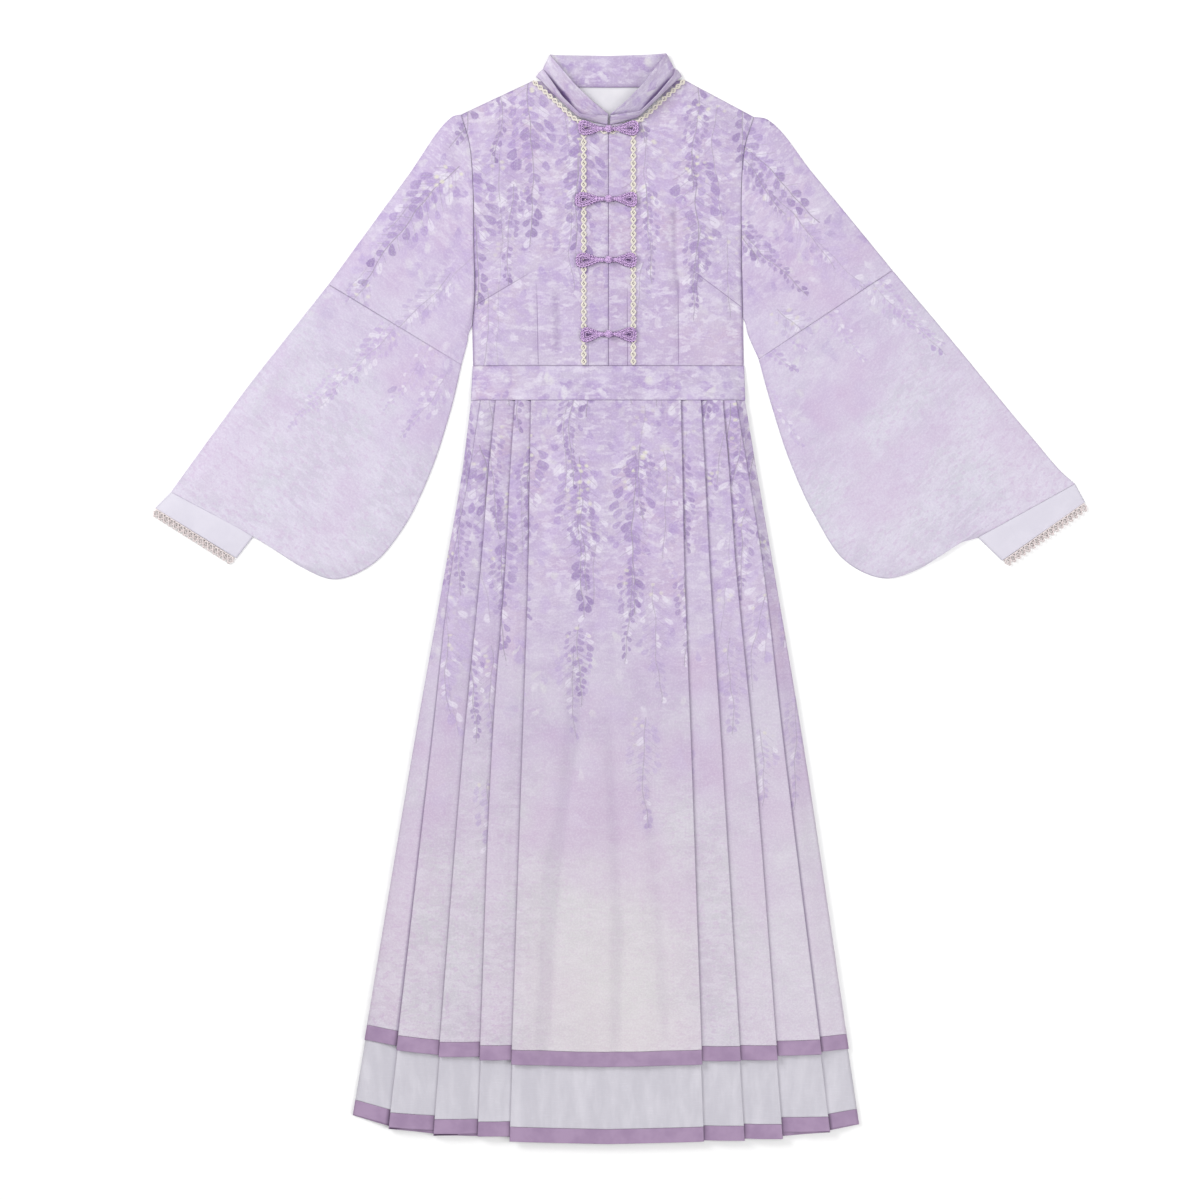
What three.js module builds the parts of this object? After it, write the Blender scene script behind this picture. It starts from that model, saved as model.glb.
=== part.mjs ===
// A long dress laid flat on its back, front up: bodice with a frog-fastened placket and a
// double stand collar, sleeves with a bell below the elbow, a waistband, and a skirt of
// knife pleats beside a flat centre panel, over a longer organza underskirt.
// Millimetres. X runs across the dress, +Y from the waist to the neck, +Z up from the floor.
// The origin is on the floor under the middle of the waistband.
import * as THREE from 'three';

// ---------------------------------------------------------------- driving dimensions
const CLOTH = 1.0; // thickness of every cloth wall
const SEAM = 0.3; // gap left between two pieces that are sewn together or lie on each other
const FOLD_GAP = 0.2; // air inside a pressed pleat

const WAIST_TOP = 21.6; // seam between the bodice and the waistband
const WAIST_BOTTOM = -20.4; // seam between the waistband and the skirt
const CENTRE = 0.6; // x of the front opening
const PLACKET = 29.7; // width of each placket strip beside the opening
const PLACKET_LACE = 7; // width of the lace along the placket seams
const NECK_LACE = 5; // width of the lace along the neck seam
const HEM_BAND = 17.5; // height of the contrast bands on both hems
const ARMHOLE_NEAR = 8; // from the armhole to the point where the front has half risen
const ARMHOLE_FAR = 26; // from the armhole to the point where it is at full height
const DART_X = 120; // x of the column of points between the armhole and the neck
const TUCK_SHARE = 0.55; // share of a pleat's face that its tuck reaches back under
const TUCK_RELIEF = 1.5; // how far the upright parts of a tuck stand apart

const BACK_Z = CLOTH / 2; // middle of a wall that lies on the floor
const SIDE_Z = BACK_Z + CLOTH + SEAM; // middle of the front wall where it meets the back wall
const BODY_Z = 5.2; // middle of the front wall over the body
const FOLD_STEP = CLOTH + FOLD_GAP; // from one layer of a pleat to the next
const PANEL_STEP = 3 * CLOTH + 2 * FOLD_GAP + SEAM; // from one pleated panel to the next
const EDGE_STEP = CLOTH + 0.45; // the same at the side seams, where each panel is one layer
const SKIRT_Z = 3 * PANEL_STEP + BACK_Z + 2 * FOLD_STEP; // middle of the flat centre panel

// ---------------------------------------------------------------- outlines, as short tables
// Armhole seams from the shoulder to the underarm, with the height of the front wall there.
const ARMHOLE = {
  left: [
    { x: -176, y: 323, z: SIDE_Z },
    { x: -166, y: 287, z: 4.0 },
    { x: -162, y: 242, z: 4.6 },
    { x: -161, y: 169, z: 4.6 },
    { x: -160, y: 106, z: 4.0 },
    { x: -163, y: 70, z: SIDE_Z },
  ],
  right: [
    { x: 175, y: 320, z: SIDE_Z },
    { x: 164, y: 284, z: 4.0 },
    { x: 160, y: 240, z: 4.6 },
    { x: 160, y: 169, z: 4.6 },
    { x: 161, y: 112, z: 4.0 },
    { x: 162, y: 79, z: SIDE_Z },
  ],
};

// Neck seam from the shoulder to the front opening.
const NECK = {
  left: [
    { x: -89, y: 364, z: SIDE_Z },
    { x: -64, y: 341, z: 3.8 },
    { x: -38, y: 317.6, z: 5.0 },
    { x: -20, y: 312.6, z: BODY_Z },
    { x: CENTRE, y: 310.6, z: BODY_Z },
  ],
  right: [
    { x: 91, y: 365, z: SIDE_Z },
    { x: 64, y: 340, z: 3.8 },
    { x: 38, y: 317, z: 5.0 },
    { x: 20, y: 312.4, z: BODY_Z },
    { x: CENTRE, y: 310.6, z: BODY_Z },
  ],
};
const BACK_NECK_Y = 357; // lowest point of the neck seam at the back

// Folds of the skirt: x of the four pleat folds and of the side seam at each height.
const SKIRT_ROWS = [
  { y: WAIST_BOTTOM, left: [-92, -111, -134, -152, -164.4], right: [87, 111, 137, 153, 164.4] },
  { y: -110, left: [-93.5, -117, -143, -166, -175.8], right: [89, 116, 145, 168, 179.4] },
  { y: -211, left: [-95, -122, -151, -185, -193.4], right: [91, 121, 152, 184, 197] },
  { y: -427, left: [-102, -138, -172, -210, -232], right: [99, 135, 173, 209, 233.6] },
  { y: -800, left: [-115, -153, -202, -253, -294.6], right: [112, 158, 202, 255, 289.4] },
];

// Hems: y at the middle of the centre panel and at its fold, then at the inner and the outer
// end of each pleat's face, from the centre to the side seam.
const HEMS = {
  skirtFront: {
    centre: -817,
    left: [-814, -809, -809, -805, -805, -803, -797, -792, -786],
    right: [-814, -810, -810, -809, -809, -804, -802, -799, -797],
  },
  skirtBack: {
    centre: -812,
    left: [-811, -808, -808, -805, -804, -801, -797, -794, -787],
    right: [-811, -809, -808, -807, -806, -803, -801, -799, -796],
  },
  underFront: {
    centre: -910,
    left: [-907, -901, -901, -898, -898, -894, -890, -887, -876],
    right: [-907, -906, -906, -904, -904, -896, -895, -892, -887],
  },
  underBack: {
    centre: -904,
    left: [-904, -902, -902, -901, -901, -898, -893, -889, -877],
    right: [-905, -905, -904, -903, -903, -901, -897, -894, -888],
  },
};

// Sleeves: the folded edges of each flattened tube from the armhole to the cuff seam. The
// outer edge is the top of the arm, the inner edge runs along the underarm and the bell.
const SLEEVE = {
  left: {
    upper: [
      { outer: [-187, 320], inner: [-166, 64], rise: 4.4 },
      { outer: [-240, 249], inner: [-169, 50], rise: 4.4 },
      { outer: [-335, 119], inner: [-176, 23], rise: 4.2 },
    ],
    lower: [
      { outer: [-335, 119], inner: [-176, 23], rise: 4.2 },
      { outer: [-388, 52], inner: [-189, -32], rise: 4.4 },
      { outer: [-429, 0], inner: [-214, -108], rise: 4.4 },
      { outer: [-460, -42], inner: [-246, -173], rise: 4.4 },
      { outer: [-483, -73], inner: [-284, -217], rise: 4.4 },
      { outer: [-501, -98], inner: [-329, -234], rise: 4.2 },
      { outer: [-514, -116], inner: [-370, -218], rise: 4.0 },
      { outer: [-520, -124], inner: [-394, -202], rise: 3.6 },
      { outer: [-524, -130], inner: [-425, -182], rise: 3.4 },
    ],
    cuff: [
      { outer: [-524, -130], inner: [-425, -182], rise: 3.4 },
      { outer: [-543, -149], inner: [-446, -209], rise: 3.4 },
    ],
    lace: [
      { outer: [-543, -149], inner: [-446, -209], rise: 3.4 },
      { outer: [-548.5, -156], inner: [-451.5, -218], rise: 3.2 },
    ],
  },
  right: {
    upper: [
      { outer: [191, 317], inner: [164.5, 74], rise: 4.4 },
      { outer: [245, 253], inner: [168, 60], rise: 4.4 },
      { outer: [341, 136], inner: [181, 30], rise: 4.2 },
    ],
    lower: [
      { outer: [341, 136], inner: [181, 30], rise: 4.2 },
      { outer: [402, 64], inner: [196, -24], rise: 4.4 },
      { outer: [449, 7], inner: [219, -94], rise: 4.4 },
      { outer: [486, -38], inner: [249, -159], rise: 4.4 },
      { outer: [513, -70], inner: [286, -213], rise: 4.4 },
      { outer: [532, -93], inner: [334, -233], rise: 4.2 },
      { outer: [545, -107], inner: [378, -219], rise: 4.0 },
      { outer: [553, -114], inner: [416, -193], rise: 3.6 },
      { outer: [560, -120], inner: [444, -184], rise: 3.4 },
    ],
    cuff: [
      { outer: [560, -120], inner: [444, -184], rise: 3.4 },
      { outer: [572, -142], inner: [473, -212], rise: 3.4 },
    ],
    lace: [
      { outer: [572, -142], inner: [473, -212], rise: 3.4 },
      { outer: [577.5, -149], inner: [478.5, -220], rise: 3.2 },
    ],
  },
};

// Collar bands, flattened round the neck: the sewn edge and the free edge at each station,
// from the left front end round the back to the right front end.
const COLLARS = {
  inner: [
    { seam: [0.2, 311.6, 5.2], edge: [1.2, 321.5, 10.2] },
    { seam: [-36.8, 319, 5.0], edge: [-14, 336, 13.0] },
    { seam: [-62.5, 342.3, 4.2], edge: [-37.5, 361, 14] },
    { seam: [-84, 362.3, 3.6], edge: [-68, 392, 9.5] },
    { seam: [-85.6, 366.8, 2.8], edge: [-71.5, 397, 5.2] },
    { seam: [-77, 364, 1.8], edge: [-62, 396.8, 1.8] },
    { seam: [-50, 360.2, 1.8], edge: [-46, 396.6, 1.8] },
    { seam: [1, 358.4, 1.8], edge: [1, 396.3, 1.8] },
    { seam: [52, 360.2, 1.8], edge: [48, 396.8, 1.8] },
    { seam: [79, 364.6, 1.8], edge: [64, 397.4, 1.8] },
    { seam: [87.8, 367.4, 2.8], edge: [73, 397.8, 5.2] },
    { seam: [86.2, 362.8, 3.6], edge: [69.5, 393, 9.5] },
    { seam: [62.5, 341.6, 4.2], edge: [42, 362.5, 14] },
    { seam: [36.8, 318.6, 5.0], edge: [19, 336, 13.0] },
    { seam: [1.1, 311.6, 5.2], edge: [2.2, 321.5, 10.2] },
  ],
  outer: [
    { seam: [0.2, 311.2, 6.6], edge: [0.9, 319.5, 13.2] },
    { seam: [-37.6, 318.2, 6.4], edge: [-26, 325, 13.6] },
    { seam: [-63.3, 341.5, 5.6], edge: [-50, 351.5, 14.4] },
    { seam: [-87, 363.9, 5.0], edge: [-78.5, 378, 11.6] },
    { seam: [-90.2, 368.2, 2.6], edge: [-82.2, 383, 4.4] },
    { seam: [-83, 365.8, 0.5], edge: [-77.4, 382.6, 0.5] },
    { seam: [-50, 360.2, 0.5], edge: [-47, 380, 0.5] },
    { seam: [1, 358.4, 0.5], edge: [1, 379, 0.5] },
    { seam: [52, 360.2, 0.5], edge: [49, 380, 0.5] },
    { seam: [85, 366.4, 0.5], edge: [79.4, 383, 0.5] },
    { seam: [92.2, 368.8, 2.6], edge: [84.4, 383.6, 4.4] },
    { seam: [89.2, 364.8, 5.0], edge: [84, 375, 12.6] },
    { seam: [63.4, 340.9, 5.6], edge: [56.4, 347.4, 17.2] },
    { seam: [37.6, 317.8, 6.4], edge: [30.6, 324.4, 17] },
    { seam: [1.1, 311.2, 6.6], edge: [2, 319.5, 13.2] },
  ],
};

// Frog fastenings from the neck down: height of the middle and reach of the two leaves.
const FROGS = [
  { y: 304.6, left: -38, right: 38 },
  { y: 221, left: -42, right: 36 },
  { y: 148, left: -41, right: 35 },
  { y: 59, left: -35, right: 35 },
];
// A leaf from its round end to its neck: share of its length, half width and thickness.
const FROG_LEAF = [
  { along: 0.0, half: 3.0, high: 2.2 },
  { along: 0.1, half: 7.4, high: 4.2 },
  { along: 0.28, half: 9.0, high: 4.8 },
  { along: 0.55, half: 6.4, high: 4.6 },
  { along: 0.8, half: 3.8, high: 4.2 },
  { along: 1.0, half: 3.2, high: 4.0 },
];
const FROG_KNOT = 4.8; // radius of the knot button
const FROG_KNOT_HIGH = 5.4;
const FROG_SIDES = 8;

// ---------------------------------------------------------------- finishes
const finish = (color, roughness) => new THREE.MeshStandardMaterial({ color, roughness, metalness: 0 });
const PRINT = () => finish('#cdbdd9', 0.6);
const PALE_PRINT = () => finish('#dbd2e4', 0.6);
const CUFF_CLOTH = () => finish('#e6e3ea', 0.6);
const FACING_CLOTH = () => finish('#e0dee3', 0.7);
const LACE = () => finish('#dccfb8', 0.85);
const FROG_CORD = () => finish('#a583bf', 0.55);
const HEM_CLOTH = () => finish('#aa90b1', 0.55);
const ORGANZA = () => finish('#d1cdd7', 0.4);

// ---------------------------------------------------------------- small helpers
const { lerp } = THREE.MathUtils;
const dress = new THREE.Group();

function addPiece(name, geometry, material) {
  const mesh = new THREE.Mesh(geometry, material);
  mesh.name = name;
  dress.add(mesh);
}

// Straight-line reading of a table of objects: the value of `read` at height y.
function readAt(rows, y, read) {
  let i = rows.findIndex((row) => row.y < y);
  if (i < 0) i = rows.length - 1;
  i = Math.max(i, 1);
  const share = (rows[i - 1].y - y) / (rows[i - 1].y - rows[i].y);
  return lerp(read(rows[i - 1]), read(rows[i]), share);
}

// Turns indexed triangles into a geometry whose faces point outwards.
function solid(points, triangles) {
  let volume = 0;
  for (const [a, b, c] of triangles) {
    volume += points[a].dot(new THREE.Vector3().crossVectors(points[b], points[c]));
  }
  const index = triangles.flatMap(([a, b, c]) => (volume < 0 ? [a, c, b] : [a, b, c]));
  const geometry = new THREE.BufferGeometry().setFromPoints(points);
  geometry.setIndex(index);
  return geometry.toNonIndexed();
}

// A cloth wall through rows of sections. Each row is { outside, inside }, two equally long
// lists of points on the wall's two faces; `tube` joins each row's last point to its first.
function wall(rows, tube = false) {
  const count = rows[0].outside.length;
  const points = rows.flatMap((row) => [...row.outside, ...row.inside]);
  const outside = (r, i) => r * 2 * count + (i % count);
  const inside = (r, i) => outside(r, i) + count;
  const triangles = [];
  const quad = (a, b, c, d) => triangles.push([a, b, c], [a, c, d]);
  const last = rows.length - 1;
  const spans = tube ? count : count - 1;
  for (let i = 0; i < spans; i += 1) {
    for (let r = 0; r < last; r += 1) {
      quad(outside(r, i), outside(r + 1, i), outside(r + 1, i + 1), outside(r, i + 1));
      quad(inside(r, i), inside(r, i + 1), inside(r + 1, i + 1), inside(r + 1, i));
    }
    quad(outside(0, i), outside(0, i + 1), inside(0, i + 1), inside(0, i));
    quad(outside(last, i), inside(last, i), inside(last, i + 1), outside(last, i + 1));
  }
  if (!tube) {
    for (let r = 0; r < last; r += 1) {
      quad(outside(r, 0), inside(r, 0), inside(r + 1, 0), outside(r + 1, 0));
      const end = count - 1;
      quad(outside(r, end), outside(r + 1, end), inside(r + 1, end), inside(r, end));
    }
  }
  return solid(points, triangles);
}

// Both faces of a wall whose middle runs through `line`, points [u, z] of one section.
function thicken(line, tube = false) {
  const half = CLOTH / 2;
  const at = (i) => line[(i + line.length) % line.length];
  const direction = (a, b) => new THREE.Vector2(b[0] - a[0], b[1] - a[1]).normalize();
  const faces = { outside: [], inside: [] };
  line.forEach(([u, z], i) => {
    const before = tube || i > 0 ? direction(at(i - 1), [u, z]) : direction([u, z], at(i + 1));
    const after = tube || i < line.length - 1 ? direction([u, z], at(i + 1)) : before;
    const along = before.clone().add(after).normalize();
    const reach = half / Math.max(along.dot(after), 0.5);
    faces.outside.push([u - along.y * reach, z + along.x * reach]);
    faces.inside.push([u + along.y * reach, z - along.x * reach]);
  });
  return faces;
}

// A panel through rows of middle points { x, y, z }, thickened straight up and down.
function panel(rows, thickness = CLOTH) {
  const face = (row, side) => row.map(({ x, y, z }) => new THREE.Vector3(x, y, z + (side * thickness) / 2));
  return wall(rows.map((row) => ({ outside: face(row, 1), inside: face(row, -1) })));
}

// ---------------------------------------------------------------- bodice
// The outline of one half from the waist seam to the underarm and up the armhole.
function bodiceEdge(side) {
  const waistX = side === 'left' ? -162 : 163;
  return [...ARMHOLE[side], { x: waistX, y: WAIST_TOP + SEAM / 2, z: SIDE_Z }];
}

// One front: rows from the shoulder and neck seams down to the waist, columns from the
// armhole or side seam to the placket seam.
function bodiceFront(side) {
  const sign = side === 'left' ? -1 : 1;
  const inner = CENTRE + sign * (PLACKET + SEAM / 2);
  const [shoulder] = ARMHOLE[side];
  const [neckSide, neckMiddle, neckFront, neckLow] = NECK[side];
  const share = (inner - neckFront.x) / (neckLow.x - neckFront.x);
  const neckEnd = {
    x: inner,
    y: lerp(neckFront.y, neckLow.y, share),
    z: lerp(neckFront.z, neckLow.z, share),
  };
  const onShoulder = (x) => {
    const t = (x - shoulder.x) / (neckSide.x - shoulder.x);
    return { x, y: lerp(shoulder.y, neckSide.y, t), z: SIDE_Z };
  };
  const inset = (x, distance) => x - sign * distance;
  const top = [
    shoulder,
    onShoulder(inset(shoulder.x, ARMHOLE_NEAR)),
    onShoulder(inset(shoulder.x, ARMHOLE_FAR)),
    onShoulder(sign * DART_X),
    neckSide,
    neckMiddle,
    neckFront,
    neckEnd,
  ].map(({ x, y, z }) => ({ x, y: y - SEAM, z }));
  const rows = bodiceEdge(side).slice(1).map(({ x, y, z }) => {
    const edge = inset(x, SEAM / 2);
    const height = (risen) => lerp(z, BODY_Z, risen);
    return [
      { x: edge, y, z: height(0) },
      { x: inset(edge, ARMHOLE_NEAR), y, z: height(0.55) },
      { x: inset(edge, ARMHOLE_FAR), y, z: height(1) },
      { x: sign * DART_X, y, z: BODY_Z },
      { x: neckSide.x, y, z: BODY_Z },
      { x: neckMiddle.x, y, z: BODY_Z },
      { x: neckFront.x, y, z: BODY_Z },
      { x: inner, y, z: BODY_Z },
    ];
  });
  return panel([top, ...rows]);
}

function bodiceBack() {
  const left = bodiceEdge('left');
  const right = bodiceEdge('right');
  const row = (i) => {
    const a = left[i];
    const b = right[i];
    const across = [0, 0.13, 0.27, 0.38, 0.5, 0.62, 0.73, 0.87, 1];
    return across.map((t) => ({
      x: lerp(a.x + SEAM / 2, b.x - SEAM / 2, t),
      y: lerp(a.y, b.y, t),
      z: BACK_Z,
    }));
  };
  const [leftShoulder] = ARMHOLE.left;
  const [rightShoulder] = ARMHOLE.right;
  const [leftNeck] = NECK.left;
  const [rightNeck] = NECK.right;
  const top = [
    leftShoulder,
    { x: -132, y: lerp(leftShoulder.y, leftNeck.y, 0.506) },
    leftNeck,
    { x: -50, y: BACK_NECK_Y + 1.8 },
    { x: 1, y: BACK_NECK_Y },
    { x: 52, y: BACK_NECK_Y + 1.8 },
    rightNeck,
    { x: 133, y: lerp(rightShoulder.y, rightNeck.y, 0.5) },
    rightShoulder,
  ].map(({ x, y }) => ({ x, y, z: BACK_Z }));
  return panel([top, ...left.slice(1).map((_, i) => row(i + 1))]);
}

// Facing inside the back neck, seen through the collar.
function neckFacing() {
  const z = BACK_Z + CLOTH + SEAM;
  const columns = [
    { x: -64, top: BACK_NECK_Y - 1, low: 318 },
    { x: -32, top: BACK_NECK_Y - 0.5, low: 302 },
    { x: 1, top: BACK_NECK_Y - 0.8, low: 296 },
    { x: 34, top: BACK_NECK_Y - 0.5, low: 302 },
    { x: 66, top: BACK_NECK_Y - 1, low: 318 },
  ];
  return panel([
    columns.map(({ x, top }) => ({ x, y: top, z })),
    columns.map(({ x, low }) => ({ x, y: low, z })),
  ]);
}

// Placket strip between its seam with the front and the opening, with a slanting neck end.
function placket(side) {
  const sign = side === 'left' ? -1 : 1;
  const seam = CENTRE + sign * (PLACKET - SEAM / 2);
  const edge = CENTRE + (sign * SEAM) / 2;
  const neckLow = NECK[side][3];
  const top = [
    { x: seam, y: 315.2 - SEAM, z: BODY_Z },
    { x: neckLow.x, y: neckLow.y - SEAM, z: BODY_Z },
    { x: edge, y: NECK[side][4].y - SEAM, z: BODY_Z },
  ];
  const low = top.map(({ x }) => ({ x, y: WAIST_TOP + SEAM / 2, z: BODY_Z }));
  return panel([top, low]);
}

// ---------------------------------------------------------------- lace on the bodice
const LACE_Z = BODY_Z + CLOTH + SEAM; // middle of a lace strip that lies on the front

function placketLace(side) {
  const middle = CENTRE + (side === 'left' ? -1 : 1) * PLACKET;
  const strip = (y) => [
    { x: middle - PLACKET_LACE / 2, y, z: LACE_Z },
    { x: middle + PLACKET_LACE / 2, y, z: LACE_Z },
  ];
  return panel([strip(302), strip(WAIST_TOP + SEAM)]);
}

// Lace beside the neck seam, made from the seam's points moved outwards and up.
function neckLace(side) {
  const sign = side === 'left' ? -1 : 1;
  const seam = NECK[side];
  const rows = seam.map((point, i) => {
    const before = seam[Math.max(i - 1, 0)];
    const after = seam[Math.min(i + 1, seam.length - 1)];
    const along = new THREE.Vector2(after.x - before.x, after.y - before.y).normalize();
    const out = new THREE.Vector2(-sign * along.y, sign * along.x);
    const place = (distance) => ({
      x: i === seam.length - 1 ? point.x + sign * SEAM : point.x + out.x * distance,
      y: point.y + out.y * distance,
      z: point.z + CLOTH + SEAM,
    });
    return [place(SEAM), place(NECK_LACE / 2), place(NECK_LACE)];
  });
  return panel(rows);
}

// ---------------------------------------------------------------- collar
// A band through its stations, thickened at right angles to its own surface.
function collarBand(stations) {
  const vector = (list) => new THREE.Vector3(...list);
  const middle = ({ seam, edge }) => vector(seam).lerp(vector(edge), 0.5);
  return wall(
    stations.map((station, i) => {
      const before = middle(stations[Math.max(i - 1, 0)]);
      const after = middle(stations[Math.min(i + 1, stations.length - 1)]);
      const across = vector(station.edge).sub(vector(station.seam));
      const normal = new THREE.Vector3().crossVectors(after.sub(before), across).normalize();
      const face = (side) => [station.seam, station.edge].map((point) =>
        vector(point).addScaledVector(normal, (side * CLOTH) / 2));
      return { outside: face(1), inside: face(-1) };
    }),
  );
}

// ---------------------------------------------------------------- waistband
function waistband(heights) {
  const columns = [0, 0.05, 0.14, 0.5, 0.86, 0.95, 1];
  const row = (y, left, right, z) => columns.map((t) => ({
    x: lerp(left, right, t),
    y,
    z: z(Math.min(t, 1 - t) / 0.14),
  }));
  const rise = (side, middle) => (share) => lerp(side, middle, 1 - (1 - Math.min(share, 1)) ** 2);
  return panel([
    row(WAIST_TOP - SEAM / 2, -162.2, 163.2, rise(heights.top.side, heights.top.middle)),
    row(WAIST_BOTTOM + SEAM / 2, -164.2, 164.2, rise(heights.bottom.side, heights.bottom.middle)),
  ]);
}

// ---------------------------------------------------------------- sleeves
// A flattened tube through stations between the two folded edges. The first station of the
// upper sleeve follows the armhole instead of a straight line.
const SLEEVE_SHARES = [0, 0.142, 0.32, 0.607, 0.855, 1];

function tubeSection(spots) {
  // spots: points { x, y, z } across the tube, edge to edge, with the front wall's height
  const bend = CLOTH * 0.65;
  const last = spots.length - 1;
  const inwards = (i, from) => {
    const line = new THREE.Vector2(spots[i].x - spots[from].x, spots[i].y - spots[from].y).normalize();
    return { x: spots[from].x + line.x * bend, y: spots[from].y + line.y * bend };
  };
  const first = inwards(1, 0);
  const final = inwards(last - 1, last);
  const foldZ = (BACK_Z + SIDE_Z) / 2;
  const front = [{ ...first, z: SIDE_Z }, ...spots.slice(1, last), { ...final, z: SIDE_Z }];
  const back = front.map(({ x, y }) => ({ x, y, z: BACK_Z })).reverse();
  return [{ ...spots[0], z: foldZ }, ...front, { ...spots[last], z: foldZ }, ...back];
}

// Thickens a ring of points { x, y, z } in the upright surface that it stands in.
function tubeWall(section) {
  const at = (i) => section[(i + section.length) % section.length];
  const distances = [0];
  const half = section.length / 2;
  for (let i = 1; i <= half; i += 1) {
    const flat = Math.hypot(at(i).x - at(i - 1).x, at(i).y - at(i - 1).y);
    distances.push(distances[i - 1] + flat);
  }
  for (let i = half + 1; i < section.length; i += 1) distances.push(distances[section.length - i]);
  const faces = thicken(section.map(({ z }, i) => [distances[i], z]), true);
  const place = ([u, z], i) => {
    const j = Math.min(Math.max(i <= half ? i : section.length - i, 1), half - 1);
    const a = at(j - 1);
    const b = at(j + 1);
    const along = new THREE.Vector2(b.x - a.x, b.y - a.y).normalize();
    const shift = u - distances[i];
    return new THREE.Vector3(section[i].x + along.x * shift, section[i].y + along.y * shift, z);
  };
  return { outside: faces.outside.map(place), inside: faces.inside.map(place) };
}

function sleeveStation({ outer, inner, rise }, shift) {
  return SLEEVE_SHARES.map((t, i) => ({
    x: lerp(outer[0], inner[0], t) + shift.x,
    y: lerp(outer[1], inner[1], t) + shift.y,
    z: i === 1 || i === SLEEVE_SHARES.length - 2 ? lerp(SIDE_Z, rise, 0.8) : rise,
  }));
}

// The pieces of a sleeve keep half a seam from the lines that they share.
function sleevePiece(stations, first) {
  const direction = (a, b) => {
    const middle = ({ outer, inner }) =>
      new THREE.Vector2((outer[0] + inner[0]) / 2, (outer[1] + inner[1]) / 2);
    return middle(b).sub(middle(a)).normalize().multiplyScalar(SEAM / 2);
  };
  const none = new THREE.Vector2();
  const last = stations.length - 1;
  const rows = stations.map((station, i) => {
    if (i === 0 && !first) return sleeveStation(station, direction(stations[0], stations[1]));
    if (i === last) return sleeveStation(station, direction(station, stations[i - 1]));
    return sleeveStation(station, none);
  });
  return wall((first ? [first, ...rows] : rows).map((row) => tubeWall(tubeSection(row))), true);
}

// The armhole line as the first station, half a seam out from the bodice.
function armholeStation(side) {
  const sign = side === 'left' ? -1 : 1;
  return ARMHOLE[side].map(({ x, y, z }) => ({ x: x + sign * SEAM, y, z }));
}

// ---------------------------------------------------------------- skirt
// x of one fold (0 to 3) or of the side seam (4) at height y, going on straight below the
// last row of the table.
const foldX = (side, fold, y) => readAt(SKIRT_ROWS, y, (row) => row[side][fold]);

// One half of a pleated section from the centre outwards, as middle points { x, z, face },
// where face is the place in the hem table. `flip` turns the pleats over for a back.
function pleatHalf(side, y, base, edge, flip) {
  const low = base + BACK_Z;
  const levels = [low, low + FOLD_STEP, low + 2 * FOLD_STEP];
  const [under, between, over] = flip ? [...levels].reverse() : levels;
  const sign = side === 'left' ? -1 : 1;
  const x = [0, 1, 2, 3, 4].map((fold) => Math.abs(foldX(side, fold, y)));
  const points = [];
  for (let fold = 0; fold < 4; fold += 1) {
    const inner = fold === 0 ? x[1] - x[0] : x[fold] - x[fold - 1];
    const tuck = x[fold] - TUCK_SHARE * inner;
    if (fold > 0) points.push({ x: tuck - TUCK_RELIEF, z: over, face: 2 * fold - 0.5 });
    points.push({ x: x[fold], z: over, face: 2 * fold });
    points.push({ x: x[fold], z: between, face: 2 * fold });
    points.push({ x: tuck, z: between, face: 2 * fold + 0.5 });
    points.push({ x: tuck, z: under, face: 2 * fold + 0.5 });
    points.push({ x: x[fold] + TUCK_RELIEF, z: under, face: 2 * fold + 1 });
  }
  points.push({ x: x[4] - CLOTH / 2, z: edge + BACK_Z, face: 8 });
  return points.map((point) => ({ ...point, x: sign * point.x }));
}

function hemAt(hem, side, face) {
  const list = hem[side];
  const low = Math.floor(face);
  const high = Math.min(low + 1, list.length - 1);
  return lerp(list[low], list[high], face - low);
}

// A whole pleated section at height y, or along the hem where `hem` is given: `above` is
// then the height of the row over the hem line.
function pleatRow({ base, edge, flip, narrow }, y, hem, above) {
  const level = flip ? base + BACK_Z : base + BACK_Z + 2 * FOLD_STEP;
  const half = (side) => pleatHalf(side, y, base, edge, flip).map((point) => ({
    ...point,
    x: point.x - Math.sign(point.x) * narrow,
    y: hem ? hemAt(hem, side, point.face) + above : y,
  }));
  const middle = { x: 0, z: level, y: hem ? hem.centre + above : y };
  const line = [...half('left').reverse(), middle, ...half('right')];
  const faces = thicken(line.map(({ x, z }) => [x, z]));
  const place = ([x, z], i) => new THREE.Vector3(x, line[i].y, z);
  return { outside: faces.outside.map(place), inside: faces.inside.map(place) };
}

function pleatedPanel(layer, hem, lowest) {
  const heights = [WAIST_BOTTOM - SEAM / 2, -110, -211, -427];
  const rows = heights.map((y) => pleatRow(layer, y));
  return wall([...rows, pleatRow(layer, lowest, hem, HEM_BAND + SEAM)]);
}

function hemBand(layer, hem, lowest) {
  return wall([pleatRow(layer, lowest, hem, HEM_BAND), pleatRow(layer, lowest - HEM_BAND, hem, 0)]);
}

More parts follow.
